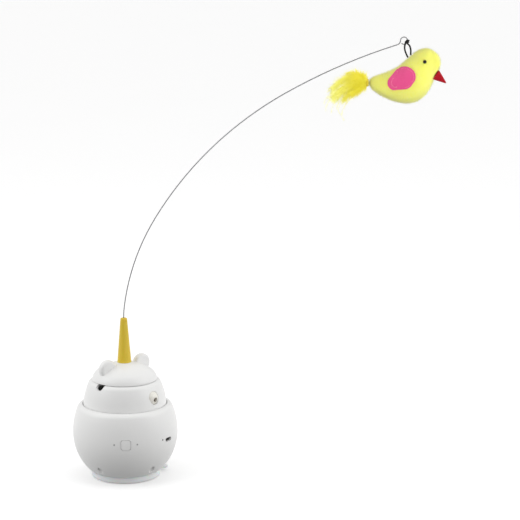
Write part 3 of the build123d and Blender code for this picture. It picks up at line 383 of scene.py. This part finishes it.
coat(zinc_screws, "board_screws", "deck_screws", "motor_screws", "head_screws", "bracket_screws")
recast("usb_socket", "charging_socket", plated_steel, "base", "socket_steel")
recast("usb_tongue", "charging_tongue", black_plastic, "base", "switch_plastic")
recast("status_lenses", "status_lamp_rods", frosted_rod, "base", "light_pipe")
recast("charge_lens", "charge_lamp_rod", smoked_rod, "base", "light_pipe")

# ================================================================ gear deck and gear train
# A dark deck hangs the gear motor and carries the idler on a steel pin. Natural acetal gears
# turn the head's spindle in a brass bush on a thin brass washer.
acetal = finish(
    "natural_acetal",
    mottled((0.74, 0.72, 0.64), (0.80, 0.78, 0.70), rough=0.32, spread=0.14,
            spots=700.0, relief=0.01 * MM),
    Subsurface_Weight=0.1, Subsurface_Scale=0.002)
turned_brass = finish(
    "turned_brass",
    mottled((0.70, 0.50, 0.20), (0.80, 0.60, 0.28), rough=0.2, spread=0.2,
            spots=1600.0, relief=0.02 * MM, stretch=(1.0, 1.0, 6.0)),
    Metallic=1.0)
coat(dark_plastic, "deck", "brush_block", "laser_bracket")
coat(acetal, "motor_pinion", "idler_gear", "output_gear")
coat(turned_brass, "spindle_bush", "thrust_washer", "brush_fingers", "contact_rings")
coat(plated_steel, "motor", "motor_shaft", "idler_pin", "spindle_clip")

# ================================================================ head
# A white band with a hole for the laser eye and two finger notches, screwed down on a
# turntable, and a domed cap with two pressed ears that closes it above.
inner_white = finish(
    "matte_white_inner",
    mottled((0.70, 0.70, 0.69), (0.78, 0.78, 0.77), rough=0.5, spread=0.15,
            spots=500.0, relief=0.02 * MM))
recast("head_band", "head_band_shell", white_shell, "head", "white_shell")
recast("head_cap", "head_cap_ears", white_shell, "head", "white_shell")
recast("turntable", "head_turntable", inner_white, "head", "white_inner")

# ================================================================ laser eye
# A cream ball that turns in the band like an eye in its socket. The module with its brass
# barrel and dark red lens sits in the ball's bore.
cream = finish(
    "cream_ball",
    mottled((0.80, 0.78, 0.71), (0.86, 0.84, 0.78), rough=0.22, spread=0.1,
            spots=500.0, relief=0.01 * MM),
    Coat_Weight=0.25)
dull_brass = finish(
    "dull_brass",
    mottled((0.30, 0.27, 0.21), (0.38, 0.34, 0.26), rough=0.3, spread=0.2,
            spots=1500.0, relief=0.02 * MM),
    Metallic=1.0)
dark_lens = finish(
    "dark_red_lens",
    mottled((0.030, 0.004, 0.004), (0.060, 0.008, 0.008), rough=0.04, spread=0.06,
            spots=900.0, relief=0.0),
    Coat_Weight=1.0)
recast("laser_ball", "laser_eye_ball", cream, "laser_eye", "cream_ball")
recast("laser_module", "laser_barrel", dull_brass, "laser_eye", "module_brass")
recast("laser_lens", "laser_window", dark_lens, "laser_eye", "lens_glass")


# ================================================================ wand
# A yellow moulded cone plugs into the cap's socket and grips a long spring wire, drawn from
# bright steel and bent into an eye at its far end.
def cone_surface(s):
    """Yellow plastic, streaked along the way that it flowed into the mould."""
    streak = s.noise(160.0, stretch=(1.0, 1.0, 0.25))
    fine = s.noise(900.0, detail=2.0)
    return {
        "Base Color": s.blend(streak, (0.64, 0.45, 0.020, 1), (0.72, 0.53, 0.030, 1)),
        "Roughness": 0.40 + 0.14 * fine,
        "Normal": s.bump(fine, 0.02 * MM, strength=0.4),
    }


def wire_surface(s):
    """Steel with long fine marks from the drawing die."""
    drawn = s.noise(2600.0, detail=2.0, stretch=(1.0, 1.0, 0.06))
    return {
        "Base Color": s.blend(drawn, (0.10, 0.10, 0.105, 1), (0.24, 0.24, 0.25, 1)),
        "Roughness": 0.28 + 0.22 * drawn,
    }


yellow_cone = finish("yellow_cone", cone_surface, Subsurface_Weight=0.1, Subsurface_Scale=0.003)
spring_steel = finish("drawn_spring_steel", wire_surface, Metallic=1.0)
recast("wand_holder", "wand_cone", yellow_cone, "wand", "yellow_holder")
recast("wand_wire", "wand_spring_wire", spring_steel, "wand", "spring_wire", crease=60.0)

# ================================================================ plush bird
# A stuffed body of lemon plush, sewn from two halves along the middle of the back and belly.
# The short pile stands up all over it and makes its outline soft.
RING_CORNERS = 32
SEAM_HALF_WIDTH = 1.1 * MM
SEAM_DEPTH = 0.45 * MM
# Each ring from tail to forehead, in millimetres: its place along X, the height of its middle,
# its half height and its half width.
BODY_RINGS = (
    (229.5, 376.8, 3.6, 3.2),
    (238.0, 375.5, 8.2, 6.8),
    (248.0, 374.2, 12.3, 10.4),
    (258.0, 375.2, 16.2, 13.0),
    (266.0, 379.0, 20.6, 14.2),
    (274.0, 383.2, 23.4, 14.4),
    (282.0, 387.6, 21.2, 11.8),
    (286.4, 390.7, 16.4, 7.6),
    (289.0, 393.7, 12.0, 5.6),
    (292.3, 395.0, 7.6, 4.6),
    (294.6, 395.6, 3.0, 2.4),
)
dice = np.random.default_rng(7)


def ring_of(shape, x, z, half_height, half_width):
    """An upright ellipse in a body's skin, as edges to bridge."""
    upright = Matrix.Translation(Vector((x, 0, z)) * MM) @ Matrix.Rotation(pi / 2, 4, "Y")
    size = Matrix.Diagonal((half_height * MM, half_width * MM, 1.0, 1.0))
    ring = bmesh.ops.create_circle(shape, segments=RING_CORNERS, radius=1.0,
                                   matrix=upright @ size)
    return edges_of(ring)


def plush_surface(s):
    """Lemon plush: a fine nap over patches that were rubbed lighter."""
    nap = s.noise(420.0, detail=4.0)
    rubbed = s.noise(60.0)
    tone = s.blend(rubbed, (0.90, 0.90, 0.16, 1), (0.95, 0.96, 0.24, 1))
    return {
        "Base Color": s.blend(0.35 * nap, tone, (0.86, 0.82, 0.08, 1)),
        "Roughness": 0.85 + 0.1 * nap,
        "Normal": s.bump(nap, 0.4 * MM, strength=0.7),
    }


stuffing = bmesh.new()
rings = [ring_of(stuffing, *ring) for ring in BODY_RINGS]
for before, after in zip(rings, rings[1:]):
    bmesh.ops.bridge_loops(stuffing, edges=before + after)
for end in (rings[0], rings[-1]):
    bmesh.ops.contextual_create(stuffing, geom=end)
bmesh.ops.recalc_face_normals(stuffing, faces=stuffing.faces)
bird = new_piece("bird_body_plush", stuffing)
roundness = bird.modifiers.new("round", "SUBSURF")
roundness.levels = roundness.render_levels = 2
bpy.context.view_layer.update()
round_body = bird.evaluated_get(bpy.context.evaluated_depsgraph_get())
round_skin = bpy.data.meshes.new_from_object(round_body)
bird.modifiers.clear()
bird.data = round_skin
for vert in bird.data.vertices:
    fold = max(0.0, 1.0 - abs(vert.co.y) / SEAM_HALF_WIDTH)
    vert.co -= vert.normal * SEAM_DEPTH * fold * fold
plush = finish("lemon_plush", plush_surface, Sheen_Weight=0.4, Sheen_Roughness=0.4,
               Sheen_Tint=(1.0, 1.0, 0.6, 1.0), Subsurface_Weight=0.15, Subsurface_Scale=0.003)
dress(bird, plush, "bird", "yellow_plush", "bird_body")

# The pile: short yellow fibres that lean a little towards the tail. None grows where the wings,
# the eyes, the beak and the loop are sewn on.
PILE_COUNT = 44000
PILE_LENGTH = 2.3 * MM
PILE_SHORTEST = 0.55
PILE_LONGER_BY = 0.85
PILE_RADIUS = 0.06 * MM
PILE_ROOT = 0.1
PILE_LEAN = (-0.35, 0.0, -0.12)
PILE_SCATTER = 0.28
# A wing's outline goes round these discs: along X, height and radius in millimetres.
WING_DISCS = (
    (262.8, 383.9, 8.5),
    (252.1, 377.5, 6.0),
    (260.8, 380.6, 8.2),
    (258.8, 383.0, 7.2),
)
WING_DIRECTIONS = 48
WING_STARTS = 4 * MM
EYE_SPOT = (279.5, 11.9, 397.4)
EYE_CLEARING = 2.7 * MM
BEAK_ROOT = Vector((290.4, 0, 384.6))
BEAK_TIP = Vector((300.4, 0, 376.6))
BEAK_RADIUS = 5.1
BEAK_CLEARING = 4 * MM
LOOP_ENDS = (LOOP_ROUTE[0], LOOP_ROUTE[-1])
LOOP_CLEARING = 2.8 * MM


def disc_reach(disc, angle):
    """How far a wing's disc goes in a direction, in millimetres along it."""
    x, z, radius = disc
    return x * cos(angle) + z * sin(angle) + radius


def planted(name, seed_shape, spots, ways, widths, lengths, spins):
    """Many copies of a small shape made along +Z, each stood at a spot in a way of its own."""
    seed_shape.verts.index_update()
    points = np.array([[*vert.co] for vert in seed_shape.verts])
    faces = np.array([[vert.index for vert in face.verts] for face in seed_shape.faces])
    seed_shape.free()
    ahead = ways / np.linalg.norm(ways, axis=1)[:, None]
    leaning = np.abs(ahead[:, 2:]) < 0.9
    across = np.cross(np.where(leaning, (0.0, 0.0, 1.0), (1.0, 0.0, 0.0)), ahead)
    across /= np.linalg.norm(across, axis=1)[:, None]
    upward = np.cross(ahead, across)
    turned = across * np.cos(spins)[:, None] + upward * np.sin(spins)[:, None]
    square = np.cross(ahead, turned)
    axes = np.stack((turned * widths[:, None], square * widths[:, None],
                     ahead * lengths[:, None]), axis=1)
    spread = (points @ axes + spots[:, None]).reshape(-1, 3)
    steps = len(points) * np.arange(len(spots))[:, None, None]
    mesh = bpy.data.meshes.new(name)
    mesh.from_pydata(spread.tolist(), [], (faces + steps).reshape(-1, faces.shape[1]).tolist())
    mesh.shade_smooth()
    piece = bpy.data.objects.new(name, mesh)
    bpy.context.collection.objects.link(piece)
    return piece


def fibre_surface(s):
    """Single lemon fibres, some of them paler."""
    strand = s.noise(700.0, detail=2.0)
    return {
        "Base Color": s.blend(strand, (0.95, 0.95, 0.24, 1), (0.98, 0.98, 0.48, 1)),
        "Roughness": 0.7 + 0.2 * strand,
    }


# Spots spread evenly over the skin: a triangle chosen by its area, and a place on it.
bird.data.calc_loop_triangles()
places = np.array([vert.co for vert in bird.data.vertices])
corners = places[np.array([triangle.vertices for triangle in bird.data.loop_triangles])]
outwards = np.cross(corners[:, 1] - corners[:, 0], corners[:, 2] - corners[:, 0])
areas = np.linalg.norm(outwards, axis=1)
chosen = dice.choice(len(areas), size=PILE_COUNT, p=areas / areas.sum())
u, v = dice.random((2, PILE_COUNT))
u, v = np.where(u + v > 1, 1 - u, u), np.where(u + v > 1, 1 - v, v)
sides = corners[chosen, 1:] - corners[chosen, :1]
spots = corners[chosen, 0] + u[:, None] * sides[:, 0] + v[:, None] * sides[:, 1]
scatter = dice.normal(0, PILE_SCATTER, (PILE_COUNT, 3))
ways = outwards[chosen] / areas[chosen, None] + PILE_LEAN + scatter
lengths = PILE_LENGTH * (PILE_SHORTEST + PILE_LONGER_BY * dice.random(PILE_COUNT) ** 2)

inside = []
for angle in np.linspace(0, 2 * pi, WING_DIRECTIONS, endpoint=False):
    wing_reach = max(disc_reach(disc, angle) for disc in WING_DISCS) * MM
    inside.append(spots[:, 0] * cos(angle) + spots[:, 2] * sin(angle) < wing_reach)
under_wing = np.all(inside, axis=0) & (np.abs(spots[:, 1]) > WING_STARTS)
mirrored = spots * (1, 0, 1) + np.abs(spots) * (0, 1, 0)
under_eye = np.linalg.norm(mirrored - np.array(EYE_SPOT) * MM, axis=1) < EYE_CLEARING
beak_way = (BEAK_TIP - BEAK_ROOT).normalized()
from_root = spots - np.array(BEAK_ROOT) * MM
along_beak = from_root @ np.array(beak_way)
from_beak = np.linalg.norm(from_root - along_beak[:, None] * np.array(beak_way), axis=1)
under_beak = (from_beak < BEAK_RADIUS * MM) & (along_beak > -BEAK_CLEARING)
from_loop = np.min([np.linalg.norm(spots - np.array(end) * MM, axis=1) for end in LOOP_ENDS],
                   axis=0)
keep = ~(under_wing | under_eye | under_beak | (from_loop < LOOP_CLEARING))
fibre = bmesh.new()
bmesh.ops.create_cone(fibre, segments=3, radius1=1.0, radius2=0.0, depth=1.0,
                      matrix=Matrix.Translation((0, 0, 0.5 - PILE_ROOT)))
pile = planted("bird_pile", fibre, spots[keep], ways[keep],
               np.full(keep.sum(), PILE_RADIUS), lengths[keep], np.zeros(keep.sum()))
dress(pile, finish("lemon_fibre", fibre_surface, Sheen_Weight=0.3), "bird", "yellow_plush")


# ================================================================ felt wings
# One thick felt wing on each side lies on the plush. Pale thread sews it down round its edge,
# in longer stitches at the rear tip.
def felt_surface(low, high, light):
    """Changing sockets of a felt: blotches between two tones under light stray fibres."""

    def changing(s):
        fluff = s.noise(520.0, detail=5.0)
        tone = s.blend(s.noise(110.0), (*low, 1), (*high, 1))
        return {
            "Base Color": s.blend(0.4 * fluff, tone, (*light, 1)),
            "Roughness": 0.86 + 0.12 * fluff,
            "Normal": s.bump(fluff, 0.35 * MM, strength=0.8),
        }

    return changing


WING_CORNERS = 72
WING_INSETS = (0.5, 0.7, 1.0, 1.4, 1.4)
WING_MIDDLE = Vector((258.6, 0, 381.3)) * MM
WING_LIFT = 0.25 * MM
FELT = 1.3 * MM
CUT_EDGE = 0.45 * MM
CUT_ANGLE = radians(50)
STITCH_COUNT = 34
STITCH_RADIUS = 0.13 * MM
STITCH_OUTSIDE = 0.5
STITCH_REACH = 2.2
STITCH_PROUD = 0.1 * MM
TIP_STITCH_REACH = 4.2
TIP_STARTS = 253.5 * MM
BESIDE_THE_BIRD = 50 * MM
pink_felt = finish(
    "pink_felt",
    felt_surface((0.60, 0.036, 0.17), (0.70, 0.060, 0.22), (0.80, 0.13, 0.32)),
    Sheen_Weight=0.4, Sheen_Roughness=0.5, Sheen_Tint=(1.0, 0.7, 0.8, 1.0))
pale_thread = finish(
    "pale_pink_thread",
    mottled((0.86, 0.22, 0.38), (0.94, 0.42, 0.52), rough=0.6, spread=0.2,
            spots=900.0, relief=0.04 * MM),
    Sheen_Weight=0.3)
skin = BVHTree.FromPolygons([vert.co.copy() for vert in bird.data.vertices],
                            [tuple(face.vertices) for face in bird.data.polygons])


def wing_edge(angle):
    """The point of the wing's outline that goes furthest in a direction."""
    x, z, radius = max(WING_DISCS, key=lambda disc: disc_reach(disc, angle))
    return Vector((x + radius * cos(angle), 0, z + radius * sin(angle))) * MM


def on_skin(spot, side, lift):
    """The place on the bird's side straight beside a point of its middle plane."""
    start = Vector((spot.x, side * BESIDE_THE_BIRD, spot.z))
    hit, normal, *_ = skin.ray_cast(start, Vector((0, -side, 0)))
    return hit + normal * lift


def wing_patch(side):
    """A wing's inner face, laid on one side of the bird."""
    patch = bmesh.new()
    bmesh.ops.create_circle(patch, segments=WING_CORNERS, radius=1.0, cap_ends=True)
    for vert in patch.verts:
        vert.co = wing_edge(np.arctan2(vert.co.y, vert.co.x))
    core = list(patch.faces)
    for step in WING_INSETS:
        bmesh.ops.inset_region(patch, faces=core, thickness=step * MM, use_even_offset=True)
    bmesh.ops.poke(patch, faces=core)
    for vert in patch.verts:
        vert.co = on_skin(vert.co, side, WING_LIFT)
    bmesh.ops.recalc_face_normals(patch, faces=patch.faces)
    if sum(face.normal.y for face in patch.faces) * side < 0:
        bmesh.ops.reverse_faces(patch, faces=patch.faces)
    return patch


for side, node in ((-1, "wing_right"), (1, "wing_left")):
    felt = new_piece(node + "_felt", wing_patch(side))
    thickness = felt.modifiers.new("felt", "SOLIDIFY")
    thickness.thickness = FELT
    thickness.offset = 1.0
    rim = felt.modifiers.new("cut_edge", "BEVEL")
    rim.width = CUT_EDGE
    rim.segments = 3
    rim.limit_method = "ANGLE"
    rim.angle_limit = CUT_ANGLE
    dress(felt, pink_felt, "bird", "pink_felt", node)
    starts, ends = [], []
    for angle in np.linspace(0, 2 * pi, STITCH_COUNT, endpoint=False):
        edge = wing_edge(angle)
        inward = (WING_MIDDLE - edge).normalized()
        reach = STITCH_REACH if edge.x > TIP_STARTS else TIP_STITCH_REACH
        starts.append(on_skin(edge - inward * STITCH_OUTSIDE * MM, side, WING_LIFT))
        ends.append(on_skin(edge + inward * reach * MM, side, WING_LIFT + FELT + STITCH_PROUD))
    stitch = bmesh.new()
    bmesh.ops.create_cone(stitch, segments=6, radius1=1.0, radius2=1.0, depth=1.0,
                          cap_ends=False, matrix=Matrix.Translation((0, 0, 0.5)))
    lie = np.array(ends) - np.array(starts)
    stitches = planted(node + "_stitches", stitch, np.array(starts), lie,
                       np.full(STITCH_COUNT, STITCH_RADIUS), np.linalg.norm(lie, axis=1),
                       np.zeros(STITCH_COUNT))
    dress(stitches, pale_thread, "bird", "pink_felt")

# ================================================================ beak and eyes
# A pointed beak folded from red felt is sewn over the face, with its cut rim standing on the
# plush, and two black beads are pulled tight into the head.
BEAK_POINT = 0.5
BEAK_FLATNESS = 1.15
BEAK_SQUARENESS = 4
BEAK_SWELL = 0.06
BEAK_CORNERS = 36
BEAK_RIM = 0.3 * MM
BEAD_RADIUS = 1.7
red_felt = finish(
    "red_felt",
    felt_surface((0.30, 0.001, 0.006), (0.38, 0.002, 0.011), (0.47, 0.010, 0.026)),
    Sheen_Weight=0.06, Sheen_Roughness=0.5, Specular_IOR_Level=0.2)
beak_length = (BEAK_TIP - BEAK_ROOT).length * MM
beak = bmesh.new()
bmesh.ops.create_cone(beak, segments=BEAK_CORNERS, radius1=BEAK_RADIUS * MM,
                      radius2=BEAK_POINT * MM, depth=beak_length, cap_ends=True,
                      matrix=Matrix.Translation((0, 0, beak_length / 2)))
long_edges = [edge for edge in beak.edges if edge.calc_length() > beak_length / 2]
bmesh.ops.subdivide_edges(beak, edges=long_edges, cuts=7)
for vert in beak.verts:
    # The section goes from a rounded square at the root to a circle at the point.
    share = vert.co.z / beak_length
    around = vert.co.xy.normalized()
    powers = abs(around.x) ** BEAK_SQUARENESS + abs(around.y) ** BEAK_SQUARENESS
    square = powers ** (-1 / BEAK_SQUARENESS)
    swell = (1.0 + BEAK_SWELL * sin(pi * share)) * (share + (1.0 - share) * square)
    vert.co.x *= swell
    vert.co.y *= swell * BEAK_FLATNESS
rims = [edge for edge in beak.edges if edge.calc_face_angle(0.0) > CUT_ANGLE]
bmesh.ops.bevel(beak, geom=rims, offset=BEAK_RIM, segments=3, profile=0.5, affect="EDGES",
                material=-1)
beak_turn = beak_way.to_track_quat("Z", "X").to_matrix().to_4x4()
bmesh.ops.transform(beak, matrix=Matrix.Translation(BEAK_ROOT * MM) @ beak_turn, verts=beak.verts)
bmesh.ops.recalc_face_normals(beak, faces=beak.faces)
dress(new_piece("bird_beak_felt", beak), red_felt, "bird", "red_felt", "bird_beak")

eyes = bmesh.new()
for side in (-1, 1):
    spot = Vector((EYE_SPOT[0], EYE_SPOT[1] * side, EYE_SPOT[2])) * MM
    bmesh.ops.create_uvsphere(eyes, u_segments=28, v_segments=16, radius=BEAD_RADIUS * MM,
                              matrix=Matrix.Translation(spot))
black_bead = finish(
    "black_bead",
    mottled((0.001, 0.001, 0.001), (0.003, 0.003, 0.003), rough=0.16, spread=0.1,
            spots=800.0, relief=0.0),
    Specular_IOR_Level=0.3)
dress(new_piece("bird_bead_eyes", eyes), black_bead, "bird", "black_bead", "bird_eyes")

# ================================================================ marabou tail
# A tuft of yellow marabou feathers, their quills bound to the neck of the tail with thread.
# Every quill bears soft barbs with barbules of their own, and the longest plumes droop.
TIE = Vector((228.6, 0, 376.8))
# Each plume: where its quill heads, where it ends, its longest barb in millimetres, its barbs.
PLUMES = (
    ((212, -2, 392), (196, -3, 372), 11.0, 430),
    ((211, 3, 388), (194, 4, 368), 11.0, 430),
    ((212, -5, 383), (195, -8, 364), 11.0, 400),
    ((211, 5, 380), (197, 8, 362), 11.0, 400),
    ((213, 0, 376), (198, -1, 361), 11.0, 400),
    ((216, -4, 371), (205, -5, 361), 9.5, 340),
    ((216, 4, 370), (208, 5, 362), 9.5, 340),
    ((221, 0, 388), (209, 0, 386), 9.0, 330),
    ((222, -4, 384), (213, -8, 381), 9.0, 300),
    ((222, 4, 382), (212, 8, 378), 9.0, 300),
    ((221, -2, 369), (214, -3, 365), 8.5, 280),
)
# Lone strands that hang out of the tuft, with short barbs.
WISPS = (
    ((197, -1.5, 352), (206.8, -2.5, 342.5), 3.6, 110),
    ((194, 1.0, 356), (203.5, 1.0, 347.0), 3.6, 100),
    ((189, -2.0, 366), (189.5, -3.0, 351.5), 4.0, 100),
    ((190, 2.0, 370), (188.0, 3.0, 357.0), 4.0, 100),
    ((192, 0.0, 362), (195.0, -1.0, 348.5), 3.8, 100),
    ((196, 3.0, 358), (200.5, 4.0, 351.5), 3.6, 90),
)
QUILL_STEPS = 12
QUILL_RADIUS = 0.16 * MM
QUILL_TAPER = 0.8
GOLDEN_UNTIL = (TIE.x - 13) * MM
PALE_WITHIN = 18 * MM


def down_surface(s):
    """Golden down near the thread that turns lemon towards the tips, strand by strand. The paler
    tips are painted light: they stand for light that comes through the thin strands.
    """
    strand = s.noise(420.0, detail=4.0)
    away = (GOLDEN_UNTIL - s.along()) * (1 / PALE_WITHIN)
    # Painted light: the tips are made paler to stand for light that shines through the thin
    # strands.
    painted_tip_light = s.node("Clamp", {}, {"Value": away + 0.6 * strand - 0.3})
    tone = s.blend(painted_tip_light, (0.96, 0.85, 0.05, 1), (0.98, 0.95, 0.33, 1))
    return {
        "Base Color": s.blend(0.3 * strand, tone, (0.98, 0.97, 0.40, 1)),
        "Roughness": 0.74 + 0.2 * strand,
    }


# The faint glow stands for the light that comes through fibres as thin as these.
down = finish("yellow_down", down_surface, Sheen_Weight=0.15, Sheen_Roughness=0.4,
              Specular_IOR_Level=0.2, Emission_Color=(0.96, 1.0, 0.06, 1),
              Emission_Strength=0.12)
quills = []
for heading, end, *_ in PLUMES + WISPS:
    heading, end = Vector(heading), Vector(end)
    quills.append([(TIE.lerp(heading, t).lerp(heading.lerp(end, t), t)) * MM
                   for t in np.linspace(0, 1, QUILL_STEPS + 1)])
quill_line = bpy.data.curves.new("tail_quills", "CURVE")
quill_line.dimensions = "3D"
quill_line.bevel_depth = QUILL_RADIUS
quill_line.bevel_resolution = 1
quill_line.use_fill_caps = True
for quill in quills:
    run = quill_line.splines.new("POLY")
    run.points.add(QUILL_STEPS)
    for step, (point, spot) in enumerate(zip(run.points, quill)):
        point.co = (*spot, 1.0)
        point.radius = 1.0 - QUILL_TAPER * step / QUILL_STEPS
quill_piece = bpy.data.objects.new("tail_quills", quill_line)
bpy.context.collection.objects.link(quill_piece)
dress(quill_piece, down, "bird", "yellow_feather")

# A barb is one unit long, and its other measures are shares of that.
BARB_ROOT, BARB_TIP = 0.013, 0.004
BARB_CUTS = 4
BARB_CURL = 0.3
BARBULES = 16
BARBULE_ROOT, BARBULE_TIP = 0.009, 0.002
FIRST_BARBULE = 0.10
BARBULE_STEP = 0.055
BARBULE_TURN = 2.4
BARBULE_RISE = 0.8
BARBULE_REACH = 0.20
BARBULE_REACH_ENDS = 1.15


def barb_shape():
    """One curved barb along +Z, one unit long, with barbules all round it."""
    shape = bmesh.new()
    bmesh.ops.create_cone(shape, segments=3, radius1=BARB_ROOT, radius2=BARB_TIP, depth=1.0,
                          matrix=Matrix.Translation((0, 0, 0.5)))
    long_edges = [edge for edge in shape.edges if edge.calc_length() > 0.9]
    bmesh.ops.subdivide_edges(shape, edges=long_edges, cuts=BARB_CUTS)
    for step in range(BARBULES):
        along = FIRST_BARBULE + BARBULE_STEP * step
        reach = BARBULE_REACH * (BARBULE_REACH_ENDS - along)
        way = Vector((cos(BARBULE_TURN * step), sin(BARBULE_TURN * step), BARBULE_RISE))
        lean = way.to_track_quat("Z", "Y").to_matrix().to_4x4()
        place = Matrix.Translation((0, 0, along)) @ lean @ Matrix.Translation((0, 0, reach / 2))
        bmesh.ops.create_cone(shape, segments=3, radius1=BARBULE_ROOT, radius2=BARBULE_TIP,
                              depth=reach, matrix=place)
    bmesh.ops.triangulate(shape, faces=shape.faces)
    for vert in shape.verts:
        vert.co.x += BARB_CURL * vert.co.z * vert.co.z
    return shape


# The tuft is trimmed along a slope, so that it clears the wand's wire when the bird swings.
TUFT_TOP = (190.0, 376.9)
TUFT_SLOPE = 0.56
FIRST_BARB = 0.05
BARB_FORWARD = 1.1
BARB_SHORTEST = 0.5
BARB_TAPER = 0.35
for group, members, nodes in (
    ("tail_down_upper", range(0, 3), ("tail_feathers",)),
    ("tail_down_middle", range(3, 7), ()),
    ("tail_down_short", range(7, len(PLUMES)), ()),
    ("tail_down_wisps", range(len(PLUMES), len(quills)), ()),
):
    spots, ways, lengths = [], [], []
    for index in members:
        _, _, longest, count = (PLUMES + WISPS)[index]
        line = np.array(quills[index])
        t = dice.uniform(FIRST_BARB, 1.0, count)
        whole = np.minimum((t * QUILL_STEPS).astype(int), QUILL_STEPS - 1)
        steps = line[whole + 1] - line[whole]
        spots.append(line[whole] + (t * QUILL_STEPS - whole)[:, None] * steps)
        along = steps / np.linalg.norm(steps, axis=1)[:, None]
        out = dice.normal(0, 1, (count, 3))
        out -= np.sum(out * along, axis=1)[:, None] * along
        out /= np.linalg.norm(out, axis=1)[:, None]
        ways.append(along * BARB_FORWARD + out)
        sizes = dice.uniform(BARB_SHORTEST, 1.0, count)
        lengths.append(longest * MM * sizes * (1.0 - BARB_TAPER * t))
    spots, ways, lengths = np.vstack(spots), np.vstack(ways), np.concatenate(lengths)
    spins = dice.uniform(0, 2 * pi, len(spots))
    tips = spots + ways / np.linalg.norm(ways, axis=1)[:, None] * lengths[:, None]
    trimmed_at = TUFT_TOP[1] * MM + TUFT_SLOPE * (tips[:, 0] - TUFT_TOP[0] * MM)
    below = tips[:, 2] < trimmed_at
    fluff = planted(group, barb_shape(), spots[below], ways[below], lengths[below],
                    lengths[below], spins[below])
    dress(fluff, down, "bird", "yellow_feather", *nodes)

# The binding: five turns of yellow thread, pulled tight round the quills.
BINDING_TURNS = 5
THREAD_CORNERS = 10
THREAD_RADIUS = 0.32 * MM
THREAD_STEP = 1.35 * THREAD_RADIUS
BINDING_REACH = 3.1 * MM
BINDING_WIDTH = 0.9
BINDING_BACK = 1.6 * MM
binding = bmesh.new()
for turn in range(BINDING_TURNS):
    place = Matrix.Translation(Vector((THREAD_STEP * turn, 0, BINDING_REACH)))
    turn_of(binding, THREAD_RADIUS, THREAD_CORNERS, place @ Matrix.Rotation(pi / 2, 4, "X"),
            (0, 0, 0), (1, 0, 0))
bmesh.ops.scale(binding, vec=(1.0, BINDING_WIDTH, 1.0), verts=binding.verts)
bmesh.ops.translate(binding, vec=TIE * MM - Vector((BINDING_BACK, 0, 0)), verts=binding.verts)
bmesh.ops.recalc_face_normals(binding, faces=binding.faces)
wound_thread = finish(
    "yellow_thread",
    mottled((0.56, 0.42, 0.01), (0.74, 0.60, 0.03), rough=0.55, spread=0.25,
            spots=1200.0, relief=0.06 * MM),
    Sheen_Weight=0.3)
dress(new_piece("tail_tie", binding), wound_thread, "bird", "yellow_thread", "tail_binding")

# ================================================================ floor and light
# A plain white table in a wide soft light tent: bright at both sides, above and behind, and
# dimmer in front and below.
floor_shape = bmesh.new()
bmesh.ops.create_grid(floor_shape, x_segments=1, y_segments=1, size=6.0)
floor = new_piece("floor", floor_shape, smooth=False)
pale_table = finish(
    "pale_table", lambda s: {"Roughness": 0.55 + 0.1 * s.noise(3.0)},
    Base_Color=(1.0, 1.0, 1.0, 1), Specular_IOR_Level=0.3,
    Emission_Color=(1.0, 1.0, 1.0, 1), Emission_Strength=0.12)
floor.data.materials.append(pale_table)
floor.visible_diffuse = False

# The tent's wall is plain white where the camera sees it, and glows by its direction elsewhere.
LEVEL_GLOW = 0.47
SIDE_GLOW = 0.50
BACK_GLOW = 0.10
TOP_GLOW = 0.40
RIGHT_GLOW = 0.04
world = bpy.data.worlds.new("light_tent")
world.use_nodes = True
tent = Surface(world.node_tree)
direction = tent.node("TexCoord", out="Generated")
east, north, up = (tent.node("SeparateXYZ", {}, {"Vector": direction}, out=axis)
                   for axis in ("X", "Y", "Z"))
glow = (LEVEL_GLOW + SIDE_GLOW * east * east + BACK_GLOW * north + TOP_GLOW * up
        + RIGHT_GLOW * east)
seen = tent.node("LightPath", out="Is Camera Ray")
strength = glow + seen * (1.0 - glow)
wall = world.node_tree.nodes["Background"]
world.node_tree.links.new(strength.socket, wall.inputs["Strength"])
wall.inputs["Color"].default_value = (1.0, 1.0, 1.0, 1.0)
bpy.context.scene.world = world

# Each lamp: its place, what it points at, its size, its power in watts, its spread in degrees.
LAMPS = (
    ("left_panel", (-0.9, -0.3, 0.8), (0.05, 0, 0.1), 0.9, 4.0, 180),
    ("right_panel", (1.2, -0.3, 0.8), (0.05, 0, 0.1), 0.9, 4.0, 180),
    ("bird_panel", (0.42, -0.60, 0.16), (0.25, 0, 0.38), 0.35, 0.31, 50),
)
for name, place, target, size, power, spread in LAMPS:
    lamp = bpy.data.lights.new(name, "AREA")
    lamp.size = size
    lamp.energy = power
    lamp.spread = radians(spread)
    panel = bpy.data.objects.new(name, lamp)
    panel.location = place
    panel.rotation_euler = (Vector(target) - Vector(place)).to_track_quat("-Z", "Y").to_euler()
    bpy.context.collection.objects.link(panel)
bpy.context.scene.view_settings.view_transform = "Standard"
